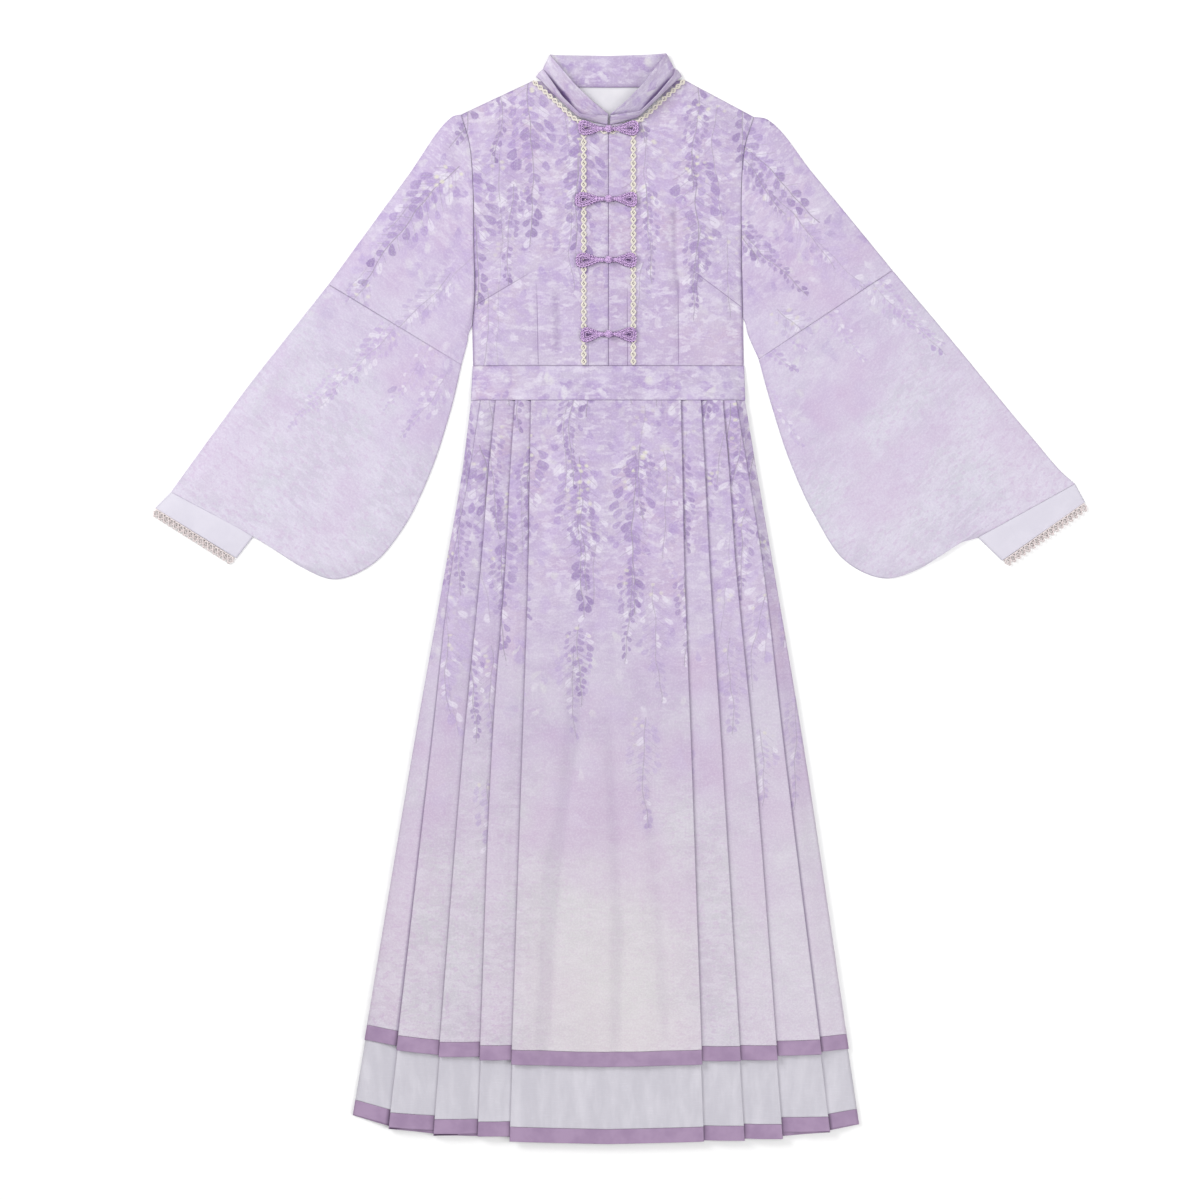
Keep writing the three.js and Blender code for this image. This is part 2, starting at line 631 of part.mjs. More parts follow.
// ---------------------------------------------------------------- frog fastenings
// A closed solid through rings along X, each with a flat underside at height z.
function leafSolid(rings, z) {
  const points = [];
  const triangles = [];
  for (const { x, y, half, high } of rings) {
    for (let k = 0; k < FROG_SIDES; k += 1) {
      const angle = ((k + 0.5) / FROG_SIDES) * 2 * Math.PI;
      const up = Math.max(Math.sin(angle), -0.38) + 0.38;
      points.push(new THREE.Vector3(x, y + half * Math.cos(angle), z + (high * up) / 1.3));
    }
  }
  const id = (r, k) => r * FROG_SIDES + (k % FROG_SIDES);
  const last = rings.length - 1;
  for (let k = 0; k < FROG_SIDES; k += 1) {
    for (let r = 0; r < last; r += 1) {
      triangles.push([id(r, k), id(r, k + 1), id(r + 1, k + 1)], [id(r, k), id(r + 1, k + 1), id(r + 1, k)]);
    }
    if (k > 0 && k < FROG_SIDES - 1) {
      triangles.push([id(0, 0), id(0, k + 1), id(0, k)], [id(last, 0), id(last, k), id(last, k + 1)]);
    }
  }
  return solid(points, triangles);
}

function frogHalf({ y, left, right }, withKnot) {
  const tip = withKnot ? right : left;
  const sign = Math.sign(tip);
  const neck = CENTRE + sign * (withKnot ? FROG_KNOT * 0.8 : FROG_KNOT + SEAM);
  const rings = FROG_LEAF.map(({ along, half, high }) => ({ x: lerp(tip, neck, along), y, half, high }));
  if (withKnot) {
    const knot = [0.45, 0, -0.45, -0.9];
    knot.forEach((share) => {
      const round = Math.sqrt(1 - share * share);
      const x = CENTRE + sign * share * FROG_KNOT;
      rings.push({ x, y, half: FROG_KNOT * round, high: FROG_KNOT_HIGH * round });
    });
  }
  return leafSolid(rings, LACE_Z + CLOTH / 2 + SEAM);
}

// ---------------------------------------------------------------- the dress
const LAYERS = {
  skirtBack: { base: 0, edge: 0, flip: true, narrow: 0 },
  underBack: { base: PANEL_STEP, edge: EDGE_STEP, flip: true, narrow: 1 },
  underFront: { base: 2 * PANEL_STEP, edge: 2 * EDGE_STEP, flip: false, narrow: 1 },
  skirtFront: { base: 3 * PANEL_STEP, edge: 3 * EDGE_STEP, flip: false, narrow: 0 },
};
const HEM_ROW = { skirt: -780, under: -872 }; // where the folds are read for the two hems

addPiece('bodice_back', bodiceBack(), PRINT());
addPiece('neck_facing', neckFacing(), FACING_CLOTH());
addPiece('collar_inner', collarBand(COLLARS.inner), PALE_PRINT());
addPiece('collar_outer', collarBand(COLLARS.outer), PRINT());
for (const side of ['left', 'right']) {
  addPiece(`bodice_front_${side}`, bodiceFront(side), PRINT());
  addPiece(`placket_${side}`, placket(side), PRINT());
  addPiece(`placket_lace_${side}`, placketLace(side), LACE());
  addPiece(`neck_lace_${side}`, neckLace(side), LACE());
  addPiece(`sleeve_upper_${side}`, sleevePiece(SLEEVE[side].upper, armholeStation(side)), PRINT());
  addPiece(`sleeve_lower_${side}`, sleevePiece(SLEEVE[side].lower), PALE_PRINT());
  addPiece(`cuff_${side}`, sleevePiece(SLEEVE[side].cuff), CUFF_CLOTH());
  addPiece(`cuff_lace_${side}`, sleevePiece(SLEEVE[side].lace), LACE());
}
FROGS.forEach((frog, i) => {
  addPiece(`frog_${i + 1}_loop`, frogHalf(frog, false), FROG_CORD());
  addPiece(`frog_${i + 1}_knot`, frogHalf(frog, true), FROG_CORD());
});
const flat = { side: BACK_Z, middle: BACK_Z };
addPiece('waistband_back', waistband({ top: flat, bottom: flat }), PRINT());
addPiece(
  'waistband_front',
  waistband({
    top: { side: SIDE_Z, middle: BODY_Z },
    bottom: { side: 3 * EDGE_STEP + BACK_Z, middle: SKIRT_Z },
  }),
  PRINT(),
);
for (const [name, layer] of [['skirt_back', 'skirtBack'], ['skirt_front', 'skirtFront']]) {
  addPiece(name, pleatedPanel(LAYERS[layer], HEMS[layer], HEM_ROW.skirt), PRINT());
  addPiece(`${name}_band`, hemBand(LAYERS[layer], HEMS[layer], HEM_ROW.skirt), HEM_CLOTH());
}
for (const [name, layer] of [['underskirt_back', 'underBack'], ['underskirt_front', 'underFront']]) {
  addPiece(name, pleatedPanel(LAYERS[layer], HEMS[layer], HEM_ROW.under), ORGANZA());
  addPiece(`${name}_band`, hemBand(LAYERS[layer], HEMS[layer], HEM_ROW.under), HEM_CLOTH());
}

export default dress;
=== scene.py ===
"""A long wisteria-print dress laid flat on its back, front up, with its trims and hems.

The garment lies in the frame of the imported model: X runs across it, +Y from the waist to the
neck, +Z up from the floor. The tables below are in millimetres and meshes are in metres.
"""

import logging
import math
from bisect import bisect_right
from collections.abc import Callable, Sequence
from dataclasses import dataclass, field
from enum import Enum

import bpy
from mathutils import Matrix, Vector, noise


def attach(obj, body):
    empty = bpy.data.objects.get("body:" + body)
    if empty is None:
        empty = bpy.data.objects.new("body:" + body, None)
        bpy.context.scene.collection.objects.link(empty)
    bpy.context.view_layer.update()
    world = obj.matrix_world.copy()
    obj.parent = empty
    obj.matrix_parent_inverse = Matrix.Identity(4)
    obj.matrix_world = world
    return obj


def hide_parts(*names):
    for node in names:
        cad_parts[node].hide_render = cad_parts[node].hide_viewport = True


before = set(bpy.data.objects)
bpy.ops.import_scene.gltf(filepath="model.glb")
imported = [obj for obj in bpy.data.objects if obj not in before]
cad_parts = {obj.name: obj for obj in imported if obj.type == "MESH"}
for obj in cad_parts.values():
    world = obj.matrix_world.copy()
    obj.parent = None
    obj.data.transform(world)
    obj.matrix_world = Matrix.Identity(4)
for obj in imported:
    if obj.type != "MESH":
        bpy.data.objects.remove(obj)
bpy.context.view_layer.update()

MM = 0.001
log = logging.getLogger("dress")

Socket = bpy.types.NodeSocket
Point = tuple[float, float]
Place = tuple[float, float, float]
Swatch = tuple[int, int, int]


class Side(Enum):
    """The two sides of the dress, with the sign of X on each."""

    LEFT = -1
    RIGHT = 1

    @property
    def label(self) -> str:
        """Word that the nodes of the model use for this side."""
        return self.name.lower()


class Hold(Enum):
    """How a sheet of cloth is held."""

    LAID = "laid"
    FOLDED = "folded"


# ------------------------------------------------------------------ numbers


def ease(share: float) -> float:
    """Smooth step from 0 to 1."""
    share = min(max(share, 0.0), 1.0)
    return share * share * (3 - 2 * share)


def lerp(a: float, b: float, share: float) -> float:
    """Value a share of the way from a to b."""
    return a + (b - a) * share


def curve_at(knots: Sequence[float], values: Sequence[float], place: float) -> float:
    """Reads a smooth curve through points.

    Args:
        knots: Places of the points, rising.
        values: Value of the curve at each of them.
        place: Where the curve is read; it goes on straight past its ends.

    Returns:
        The value there.
    """
    last = len(knots) - 1
    slopes = [(values[i + 1] - values[i]) / (knots[i + 1] - knots[i]) for i in range(last)]
    if place <= knots[0]:
        return values[0] + (place - knots[0]) * slopes[0]
    if place >= knots[last]:
        return values[last] + (place - knots[last]) * slopes[-1]
    i = bisect_right(knots, place) - 1
    span = knots[i + 1] - knots[i]
    t = (place - knots[i]) / span
    before = slopes[i] if i == 0 else (slopes[i - 1] + slopes[i]) / 2
    after = slopes[i] if i == last - 1 else (slopes[i] + slopes[i + 1]) / 2
    return (
        (2 * t**3 - 3 * t**2 + 1) * values[i]
        + (t**3 - 2 * t**2 + t) * span * before
        + (3 * t**2 - 2 * t**3) * values[i + 1]
        + (t**3 - t**2) * span * after
    )


def ripple(x: float, y: float, size: float, seed: float) -> float:
    """Smooth noise from about -1 to 1 with features of one size, in millimetres."""
    return noise.noise(Vector((x / size, y / size, seed * 7.31)))


@dataclass(frozen=True)
class Crease:
    """A soft ridge (positive height) or trough (negative) pressed into lying cloth.

    Attributes:
        start: Where it begins, in millimetres.
        end: Where it dies away.
        width: Distance from its line at which it has faded to a third.
        height: How far the cloth rises or sinks along its line.
        bow: How far its middle is bent to the left of its direction.
    """

    start: Point
    end: Point
    width: float
    height: float
    bow: float = 0.0

    def at(self, x: float, y: float) -> float:
        """Height that this crease gives the cloth at one place.

        Args:
            x: Across the dress.
            y: Along the dress.

        Returns:
            The height to add.
        """
        ax, ay = self.start
        dx, dy = self.end[0] - ax, self.end[1] - ay
        length = math.hypot(dx, dy)
        along = ((x - ax) * dx + (y - ay) * dy) / (length * length)
        if not -0.15 < along < 1.15:
            return 0.0
        off = ((x - ax) * dy - (y - ay) * dx) / length + self.bow * 4 * along * (1 - along)
        if abs(off) > 3 * self.width:
            return 0.0
        fade = ease((along + 0.15) / 0.35) * ease((1.15 - along) / 0.35)
        return self.height * fade * math.exp(-((off / self.width) ** 2))


def creased(creases: Sequence[Crease], x: float, y: float) -> float:
    """Sum of all the creases at one place."""
    return sum(crease.at(x, y) for crease in creases)


def seam_roll(distance: float, depth: float = 0.7, width: float = 2.0) -> float:
    """How far cloth dips beside a seam."""
    return -depth * math.exp(-((distance / width) ** 2))


def seam_shade(distance: float, strength: float = 0.6, width: float = 0.8) -> float:
    """Painted shade on the cloth beside a seam, fading with distance from it."""
    return strength * math.exp(-((distance / width) ** 2))


# ------------------------------------------------------------------ meshes


@dataclass
class Spot:
    """One point of a cloth: where it lies, its place on the flat cloth, and its shade.

    Attributes:
        x: Across the dress, in millimetres.
        y: Along the dress.
        z: Height over the floor.
        u: Across the cut cloth.
        v: Down the cut cloth.
        shade: Painted shade that darkens its colour, for lying in a seam, under a fold or in a crease, from 0
            to 1.
    """

    x: float
    y: float
    z: float
    u: float = 0.0
    v: float = 0.0
    shade: float = 0.0


def mesh_object(
    name: str,
    points: Sequence[Place],
    faces: Sequence[tuple[int, ...]],
    cloth: Sequence[Point] | None = None,
    shade: Sequence[float] | None = None,
) -> bpy.types.Object:
    """Makes an object from points in millimetres.

    Args:
        name: Name of the new object.
        points: Its corners.
        faces: Corner numbers of each face.
        cloth: Place of each corner on the flat cloth, kept as its UV map, in metres.
        shade: Painted shade of each corner in seams and folds, kept as an attribute.

    Returns:
        The object, smooth shaded, at the origin.
    """
    mesh = bpy.data.meshes.new(name)
    mesh.from_pydata([(x * MM, y * MM, z * MM) for x, y, z in points], [], faces)
    if cloth is not None:
        layer = mesh.uv_layers.new(name="cloth")
        corner = [0] * len(mesh.loops)
        mesh.loops.foreach_get("vertex_index", corner)
        layer.data.foreach_set("uv", [c * MM for i in corner for c in cloth[i]])
    attribute = mesh.attributes.new("shade", "FLOAT", "POINT")
    attribute.data.foreach_set("value", list(shade) if shade else [0.0] * len(points))
    mesh.polygons.foreach_set("use_smooth", [True] * len(mesh.polygons))
    mesh.update()
    made = bpy.data.objects.new(name, mesh)
    bpy.context.scene.collection.objects.link(made)
    return made


def shares(steps: int, length: float, tight: tuple[float, ...] = (0.7, 1.8, 3.5)) -> list[float]:
    """Shares of the way across a cloth, closer together beside its two edges.

    Args:
        steps: Number of even steps between the edges.
        length: Length across, in millimetres.
        tight: Distances from each edge of the points beside it.

    Returns:
        The shares, from 0 to 1.
    """
    inner = [tight[-1] + (length - 2 * tight[-1]) * i / steps for i in range(steps + 1)]
    places = [0.0, *tight[:-1], *inner, *[length - t for t in reversed(tight[:-1])], length]
    return [place / length for place in places]


def cloth_grid(
    name: str,
    rows: Sequence[Sequence[Spot]],
    wall: float,
    ring: bool = False,
) -> bpy.types.Object:
    """Makes a sheet of cloth from rows of points, with its thickness.

    Args:
        name: Name of the piece.
        rows: Equally long rows from the top of the piece down, each from left to right.
        wall: Thickness of the cloth, in millimetres.
        ring: Whether each row closes on itself, as round a sleeve.

    Returns:
        The sheet, a closed thin shell.
    """
    count = len(rows[0])
    flat = [spot for row in rows for spot in row]
    spans = count if ring else count - 1
    faces = []
    for r in range(len(rows) - 1):
        top, low = r * count, (r + 1) * count
        for i in range(spans):
            j = (i + 1) % count
            faces.append((top + i, low + i, low + j, top + j))
    made = mesh_object(
        name,
        [(s.x, s.y, s.z) for s in flat],
        faces,
        [(s.u, s.v) for s in flat],
        [s.shade for s in flat],
    )
    shell = made.modifiers.new("wall", "SOLIDIFY")
    shell.thickness = wall * MM
    shell.offset = 0.0
    return made


def cloth_of(
    name: str,
    across: Sequence[float],
    down: Sequence[float],
    spot: Callable[[float, float], Spot],
    wall: float,
    mirrored: bool = False,
) -> bpy.types.Object:
    """Makes a sheet of cloth from a function that places each of its points.

    Args:
        name: Name of the piece.
        across: Shares of the way across, from left to right.
        down: Shares of the way down.
        spot: Point of the cloth at a share across and a share down.
        wall: Thickness of the cloth, in millimetres.
        mirrored: Whether the shares across run from right to left.

    Returns:
        The sheet.
    """
    rows = [[spot(s, t) for s in across] for t in down]
    return cloth_grid(name, [row[::-1] for row in rows] if mirrored else rows, wall)


def dress(
    piece: bpy.types.Object,
    nodes: Sequence[str],
    slot: str,
    finish: bpy.types.Material,
) -> bpy.types.Object:
    """Gives a piece its finish and lets it stand for nodes of the model.

    Args:
        piece: The finished piece.
        nodes: Nodes that it replaces.
        slot: Material slot of the record; not used.
        finish: Its material.

    Returns:
        The same piece.
    """
    piece.data.materials.clear()
    piece.data.materials.append(finish)
    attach(piece, "root")
    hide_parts(*nodes)
    return piece


def declare(
    piece: bpy.types.Object,
    cut: Point,
    area: float,
    held: Hold,
    rests_on: Sequence[str],
    trims: Sequence[bpy.types.Object] = (),
) -> None:
    """Works out the flat cut that a sheet was made from, and keeps none of it.

    Args:
        piece: The sheet; not used.
        cut: Width and length of the cut, in millimetres.
        area: Share of that rectangle that the cut fills.
        held: How it is held; not used.
        rests_on: Pieces that it lies on.
        trims: Separate pieces sewn on it.
    """
    width, length = cut[0] * MM, cut[1] * MM
    list(rests_on)
    width * length * area
    list(trims)
# ------------------------------------------------------------------ node trees


def tint(swatch: Swatch) -> tuple[float, float, float, float]:
    """Linear colour of a swatch given in the usual 0 to 255 steps.

    Args:
        swatch: Its red, green and blue.

    Returns:
        Red, green, blue and an alpha of 1, from 0 to 1.
    """

    def linear(step: int) -> float:
        """Linear share of one channel."""
        share = step / 255
        return share / 12.92 if share <= 0.04045 else ((share + 0.055) / 1.055) ** 2.4

    return (*(linear(step) for step in swatch), 1.0)


def arithmetic(operation: str, swapped: bool = False) -> Callable[["Signal", "Value"], "Signal"]:
    """Makes the method behind one arithmetic sign.

    Args:
        operation: What its Math node does.
        swapped: Whether the signal stands on the right of the sign.

    Returns:
        The method.
    """

    def method(self: "Signal", other: "Value") -> "Signal":
        """Output of one Math node for the two values."""
        return self.w.math(operation, *((other, self) if swapped else (self, other)))

    return method


@dataclass(frozen=True, eq=False)
class Signal:
    """An output socket that adds up, multiplies and compares like a number.

    Attributes:
        w: Wiring of its tree.
        socket: The socket itself.
    """

    w: "Wiring"
    socket: Socket

    __add__ = arithmetic("ADD")
    __radd__ = arithmetic("ADD", swapped=True)
    __sub__ = arithmetic("SUBTRACT")
    __rsub__ = arithmetic("SUBTRACT", swapped=True)
    __mul__ = arithmetic("MULTIPLY")
    __rmul__ = arithmetic("MULTIPLY", swapped=True)
    __truediv__ = arithmetic("DIVIDE")
    __rtruediv__ = arithmetic("DIVIDE", swapped=True)
    __pow__ = arithmetic("POWER")
    __gt__ = arithmetic("GREATER_THAN")
    __lt__ = arithmetic("LESS_THAN")

    def __abs__(self) -> "Signal":
        """Its size without its sign."""
        return self.w.math("ABSOLUTE", self)

    def scaled(self, factor: "Value", plus: "Value") -> "Signal":
        """This signal times a factor, plus another, in one node."""
        return self.w.math("MULTIPLY_ADD", self, factor, plus)


Value = float | tuple[float, ...] | Signal


@dataclass
class Wiring:
    """A short hand for building one node tree.

    Attributes:
        tree: The tree that nodes are added to.
    """

    tree: bpy.types.NodeTree

    def add(
        self,
        kind: str,
        inputs: dict[str | int, Value] | None = None,
        **settings: object,
    ) -> bpy.types.Node:
        """Adds a node.

        Args:
            kind: Its type.
            inputs: Values of its inputs, by name or number.
            settings: Its other settings, by name.

        Returns:
            The node.
        """
        node = self.tree.nodes.new(kind)
        for name, setting in settings.items():
            setattr(node, name, setting)
        for key, value in (inputs or {}).items():
            self.feed(node.inputs[key], value)
        return node

    def feed(self, socket: Socket, value: Value) -> None:
        """Links a socket to a signal, or sets the number or colour on it.

        Args:
            socket: Input to fill.
            value: What goes into it.
        """
        if isinstance(value, Signal):
            self.tree.links.new(value.socket, socket)
        else:
            socket.default_value = value

    def fill(self, node: bpy.types.Node, **values: Value) -> None:
        """Feeds inputs of a node by name, with _ for each space in a name."""
        for name, value in values.items():
            self.feed(node.inputs[name.replace("_", " ")], value)

    def out(self, node: bpy.types.Node, output: str | int = 0) -> Signal:
        """One output of a node."""
        return Signal(self, node.outputs[output])

    def math(self, operation: str, *values: Value) -> Signal:
        """Output of one Math node."""
        return self.out(self.add("ShaderNodeMath", dict(enumerate(values)), operation=operation))

    def band(self, value: Value, low: Value, high: Value, start: Value = 0.0, end: Value = 1.0) -> Signal:
        """Smooth step of a value between two limits, given as start to end.

        Args:
            value: The value.
            low: Limit at which the result is the start.
            high: Limit at which the result is the end; it may be below the other.
            start: Result up to the first limit.
            end: Result past the second.

        Returns:
            The result.
        """
        limits = {"From Min": low, "From Max": high, "To Min": start, "To Max": end}
        node = self.add("ShaderNodeMapRange", {"Value": value, **limits}, interpolation_type="SMOOTHSTEP")
        return self.out(node, "Result")

    def mix(self, factor: Value, a: Value, b: Value, blend: str = "MIX") -> Signal:
        """Colour b laid over colour a by a factor."""
        inputs = {"Factor": factor, 6: a, 7: b}
        return self.out(self.add("ShaderNodeMix", inputs, data_type="RGBA", blend_type=blend), 2)

    def split(self, vector: Signal) -> tuple[Signal, Signal, Signal]:
        """The three parts of a vector."""
        node = self.add("ShaderNodeSeparateXYZ", {0: vector})
        return self.out(node, 0), self.out(node, 1), self.out(node, 2)

    def join(self, x: Value, y: Value, z: Value = 0.0) -> Signal:
        """A vector of three parts."""
        return self.out(self.add("ShaderNodeCombineXYZ", {0: x, 1: y, 2: z}))

    def noise(self, vector: Value, scale: Value, detail: float = 2.0, rough: float = 0.5) -> Signal:
        """Noise over a vector, about 0.5 in the middle."""
        inputs = {"Vector": vector, "Scale": scale, "Detail": detail, "Roughness": rough}
        return self.out(self.add("ShaderNodeTexNoise", inputs, noise_dimensions="3D"))

    def dice(self, vector: Value) -> tuple[Signal, Signal, Signal]:
        """Three random numbers for each value of a vector."""
        node = self.add("ShaderNodeTexWhiteNoise", {"Vector": vector}, noise_dimensions="3D")
        return self.split(self.out(node, "Color"))

    def cells(self, vector: Value, randomness: float) -> tuple[Signal, Signal, Signal]:
        """Distance to the nearest of scattered points, a random colour for it, and its place.

        Args:
            vector: Place that the points are scattered over.
            randomness: How uneven their grid is, from 0 to 1.

        Returns:
            The distance, the colour and the place.
        """
        inputs = {"Vector": vector, "Scale": 1.0, "Randomness": randomness}
        node = self.add("ShaderNodeTexVoronoi", inputs, voronoi_dimensions="2D", feature="F1")
        return self.out(node, "Distance"), self.out(node, "Color"), self.out(node, "Position")

    def relief(self, height: Signal, distance: float, strength: float) -> Signal:
        """Normal of a surface with a fine relief, its depth in metres."""
        inputs = {"Height": height, "Distance": distance, "Strength": strength}
        return self.out(self.add("ShaderNodeBump", inputs), "Normal")

    def cloth(self) -> Signal:
        """Place on the flat cloth, in metres, from the piece's own map."""
        return self.out(self.add("ShaderNodeUVMap", uv_map="cloth"), "UV")


FLOAT, VECTOR, COLOR = "NodeSocketFloat", "NodeSocketVector", "NodeSocketColor"


def new_group(
    name: str, takes: dict[str, object], gives: str, kind: str = FLOAT
) -> tuple[Wiring, dict[str, Signal], dict[str, Socket]]:
    """Starts a node group.

    Args:
        name: Name of the group.
        takes: Usual value of each input by name: a number, a colour, or None for a vector.
        gives: Names of its outputs, with commas between them.
        kind: Kind of the outputs.

    Returns:
        The wiring of the group, and its inputs and its outputs by name.
    """
    tree = bpy.data.node_groups.new(name, "ShaderNodeTree")
    for label, usual in takes.items():
        sort = VECTOR if usual is None else COLOR if isinstance(usual, tuple) else FLOAT
        made = tree.interface.new_socket(label, in_out="INPUT", socket_type=sort)
        if usual is not None:
            made.default_value = usual
    for label in gives.split(", "):
        tree.interface.new_socket(label, in_out="OUTPUT", socket_type=kind)
    w = Wiring(tree)
    source, sink = w.add("NodeGroupInput"), w.add("NodeGroupOutput")
    signals = {socket.name: Signal(w, socket) for socket in source.outputs if socket.name}
    return w, signals, {socket.name: socket for socket in sink.inputs if socket.name}


def racemes_group() -> bpy.types.NodeTree:
    """Hanging flower clusters in loose columns: petals along drooping side stems.

    Returns:
        The group, with its masks as outputs.
    """
    w, take, give = new_group(
        "Wisteria racemes",
        {
            "Cloth": None,
            "Column": 0.08,
            "Row": 0.24,
            "Petal": 0.014,
            "Reach": 0.027,
            "Full to": 0.3,
            "None past": 0.5,
            "Softness": 0.1,
            "Seed": 1.0,
        },
        "Petals, Pale, Tone, Stem, Buds",
    )
    u0, v0, _ = w.split(take["Cloth"])
    wave = w.noise(take["Cloth"], 18.0, 1.0)
    sway = w.noise(w.join(v0, u0, take["Seed"]), 22.0, 1.0)
    u = wave.scaled(0.016, u0 - 0.008)
    v = sway.scaled(0.012, v0 - 0.006)
    column = w.math("FLOOR", u / take["Column"])
    start, _, _ = w.dice(w.join(column, take["Seed"], 3.7))
    down = v / take["Row"] + start
    row = w.math("FLOOR", down)
    in_row = down - row
    one, two, three = w.dice(w.join(column, row, take["Seed"]))
    middle = (row + 0.5 - start) * take["Row"]
    present = three < w.band(middle, take["Full to"], take["None past"], 0.95, 0.0)
    length = take["Row"] * two.scaled(0.34, 0.62)
    hang = in_row * take["Row"]
    share = hang / length
    slack = w.math("MAXIMUM", take["Reach"].scaled(-1.7, take["Column"]), 0.0)
    centre = (column + 0.5) * take["Column"]
    axis = (one - 0.5).scaled(slack, centre)
    curve = w.math("SINE", share.scaled(3.4, one * 6.0))
    off = u - axis - curve * 0.004
    out = abs(off)
    hand = off > 0.0

    def half_width(at: Signal) -> Signal:
        """Half width of a raceme: widest a little below its top, a point at its tip.

        Args:
            at: Share of the way down the raceme.

        Returns:
            The half width there, in metres.
        """
        left_over = w.math("MAXIMUM", 1.0 - at, 0.0) ** 0.8
        opening = w.math("MINIMUM", at.scaled(3.0, 0.35), 1.0)
        return take["Reach"] * (left_over * opening)

    # side stems leave the main one at even steps and droop outwards
    step = take["Petal"] * 0.85
    way = out.scaled(-0.75, hang)
    branch = w.math("FLOOR", way / step)
    slip, nudge, _ = w.dice(w.join(branch, hand, one.scaled(31.0, take["Seed"])))
    level = (branch + nudge.scaled(0.3, 0.35)) * step
    slip = slip * 0.42
    number = w.math("FLOOR", out / take["Petal"] + slip)
    out_at = (number + 0.5 - slip) * take["Petal"]
    hang_at = out_at.scaled(0.75, level)
    share_at = hang_at / length
    turn, luck, size = w.dice(w.join(number, branch, one.scaled(47.0, hand)))
    there = (out_at < half_width(share_at) * 1.1) * present
    there = there * (share_at > 0.02)

    # each petal is a drop that points outwards and down
    angle = turn.scaled(0.95, share_at.scaled(0.5, 0.3))
    cosine, sine = w.math("COSINE", angle), w.math("SINE", angle)
    dx, dy = out - out_at, hang - hang_at
    along = dx * cosine + dy * sine
    across = dy * cosine - dx * sine
    reach = take["Petal"] * size.scaled(0.2, 0.38)
    reach = reach * share_at.scaled(-0.25, 1.0)
    along = along / reach
    girth = turn.scaled(0.2, 0.52) * along.scaled(0.45, 1.0)
    across = across / (reach * girth)
    far = w.math("SQRT", along * along + across * across)
    rim = take["Softness"] * 2.0
    petal = w.band(far, 1.0 + rim, 1.0 - rim)
    veins = w.noise(w.join(across * 2.4, along, luck), 3.0, 2.0, 0.6)
    brushed = petal * there * w.band(veins, 0.3, 0.6, 0.66, 1.0)
    w.feed(give["Petals"], brushed * (luck > 0.26))
    pale = (luck < 0.26) * (luck > 0.13)
    w.feed(give["Pale"], brushed * pale)
    to_tip = w.math("MAXIMUM", w.math("MINIMUM", share_at, 1.0), 0.0) ** 3.0
    w.feed(give["Tone"], size.scaled(0.5, to_tip * 0.7))

    # main and side stems, and a few buds near the top
    stem = w.band(out, 0.0008, 0.0003) * (share < 0.95)
    beside = abs(way - level)
    twig = w.band(beside, 0.0007, 0.0002, 0.0, 0.6) * (out < half_width(share))
    w.feed(give["Stem"], w.math("MAXIMUM", stem, twig) * present)
    speck, speck_colour, _ = w.cells(w.join(u / 0.011, v / 0.009), 1.0)
    lucky, _, _ = w.split(speck_colour)
    fleck = w.band(speck, 0.34, 0.12) * (lucky > 0.6)
    near = w.band(out, 0.02, 0.008) * w.band(share, 0.3, 0.12)
    w.feed(give["Buds"], fleck * (near * present))
    return w.tree


def wash_group() -> bpy.types.NodeTree:
    """Watercolour ground: broad clouds, brush blots and fine speckle.

    Returns:
        The group, with one mask for each layer of the ground.
    """
    w, take, give = new_group(
        "Watercolour wash",
        {"Cloth": None, "Cloud": 0.09, "Blot": 0.022, "Speckle": 0.0024},
        "Clouds, Drift, Blots, Smears, Strokes, Speckles",
    )
    u, v, _ = w.split(take["Cloth"])
    layers = (
        ("Clouds", take["Cloth"], 1.0, "Cloud", (4.0, 0.55), (0.36, 0.64)),
        ("Drift", w.join(v, u, 4.2), 0.8, "Cloud", (3.0, 0.6), (0.38, 0.66)),
        ("Blots", w.join(u * 0.55, v, 8.1), 1.0, "Blot", (3.0, 0.65), (0.42, 0.62)),
        ("Smears", w.join(u * 0.42, v, 2.6), 1.5, "Blot", (3.0, 0.6), (0.5, 0.6)),
        ("Strokes", w.join(v, u * 0.5, 9.4), 2.2, "Blot", (3.0, 0.6), (0.53, 0.61)),
        ("Speckles", take["Cloth"], 1.0, "Speckle", (2.0, 0.75), (0.35, 0.65)),
    )
    for name, place, often, size, grain, limits in layers:
        w.feed(give[name], w.band(w.noise(place, often / take[size], *grain), *limits))
    return w.tree


def weave_group() -> bpy.types.NodeTree:
    """Fine twill of warp and weft threads with a few thicker slubs.

    Returns:
        The group, with the height of the threads and the mask of the slubs.
    """
    w, take, give = new_group("Woven threads", {"Cloth": None, "Pitch": 0.0005, "Slant": 0.5}, "Height, Slub")
    u, v, _ = w.split(take["Cloth"])
    turn = 2 * math.pi / take["Pitch"]
    warp = w.math("SINE", v.scaled(take["Slant"], u) * turn)
    weft = w.math("SINE", v * turn)
    w.feed(give["Height"], warp.scaled(0.3, weft.scaled(0.2, 0.5)))
    slub = w.noise(w.join(u * 0.08, v, 1.3), 900.0, 2.0, 0.6)
    w.feed(give["Slub"], w.band(slub, 0.5, 0.75))
    return w.tree


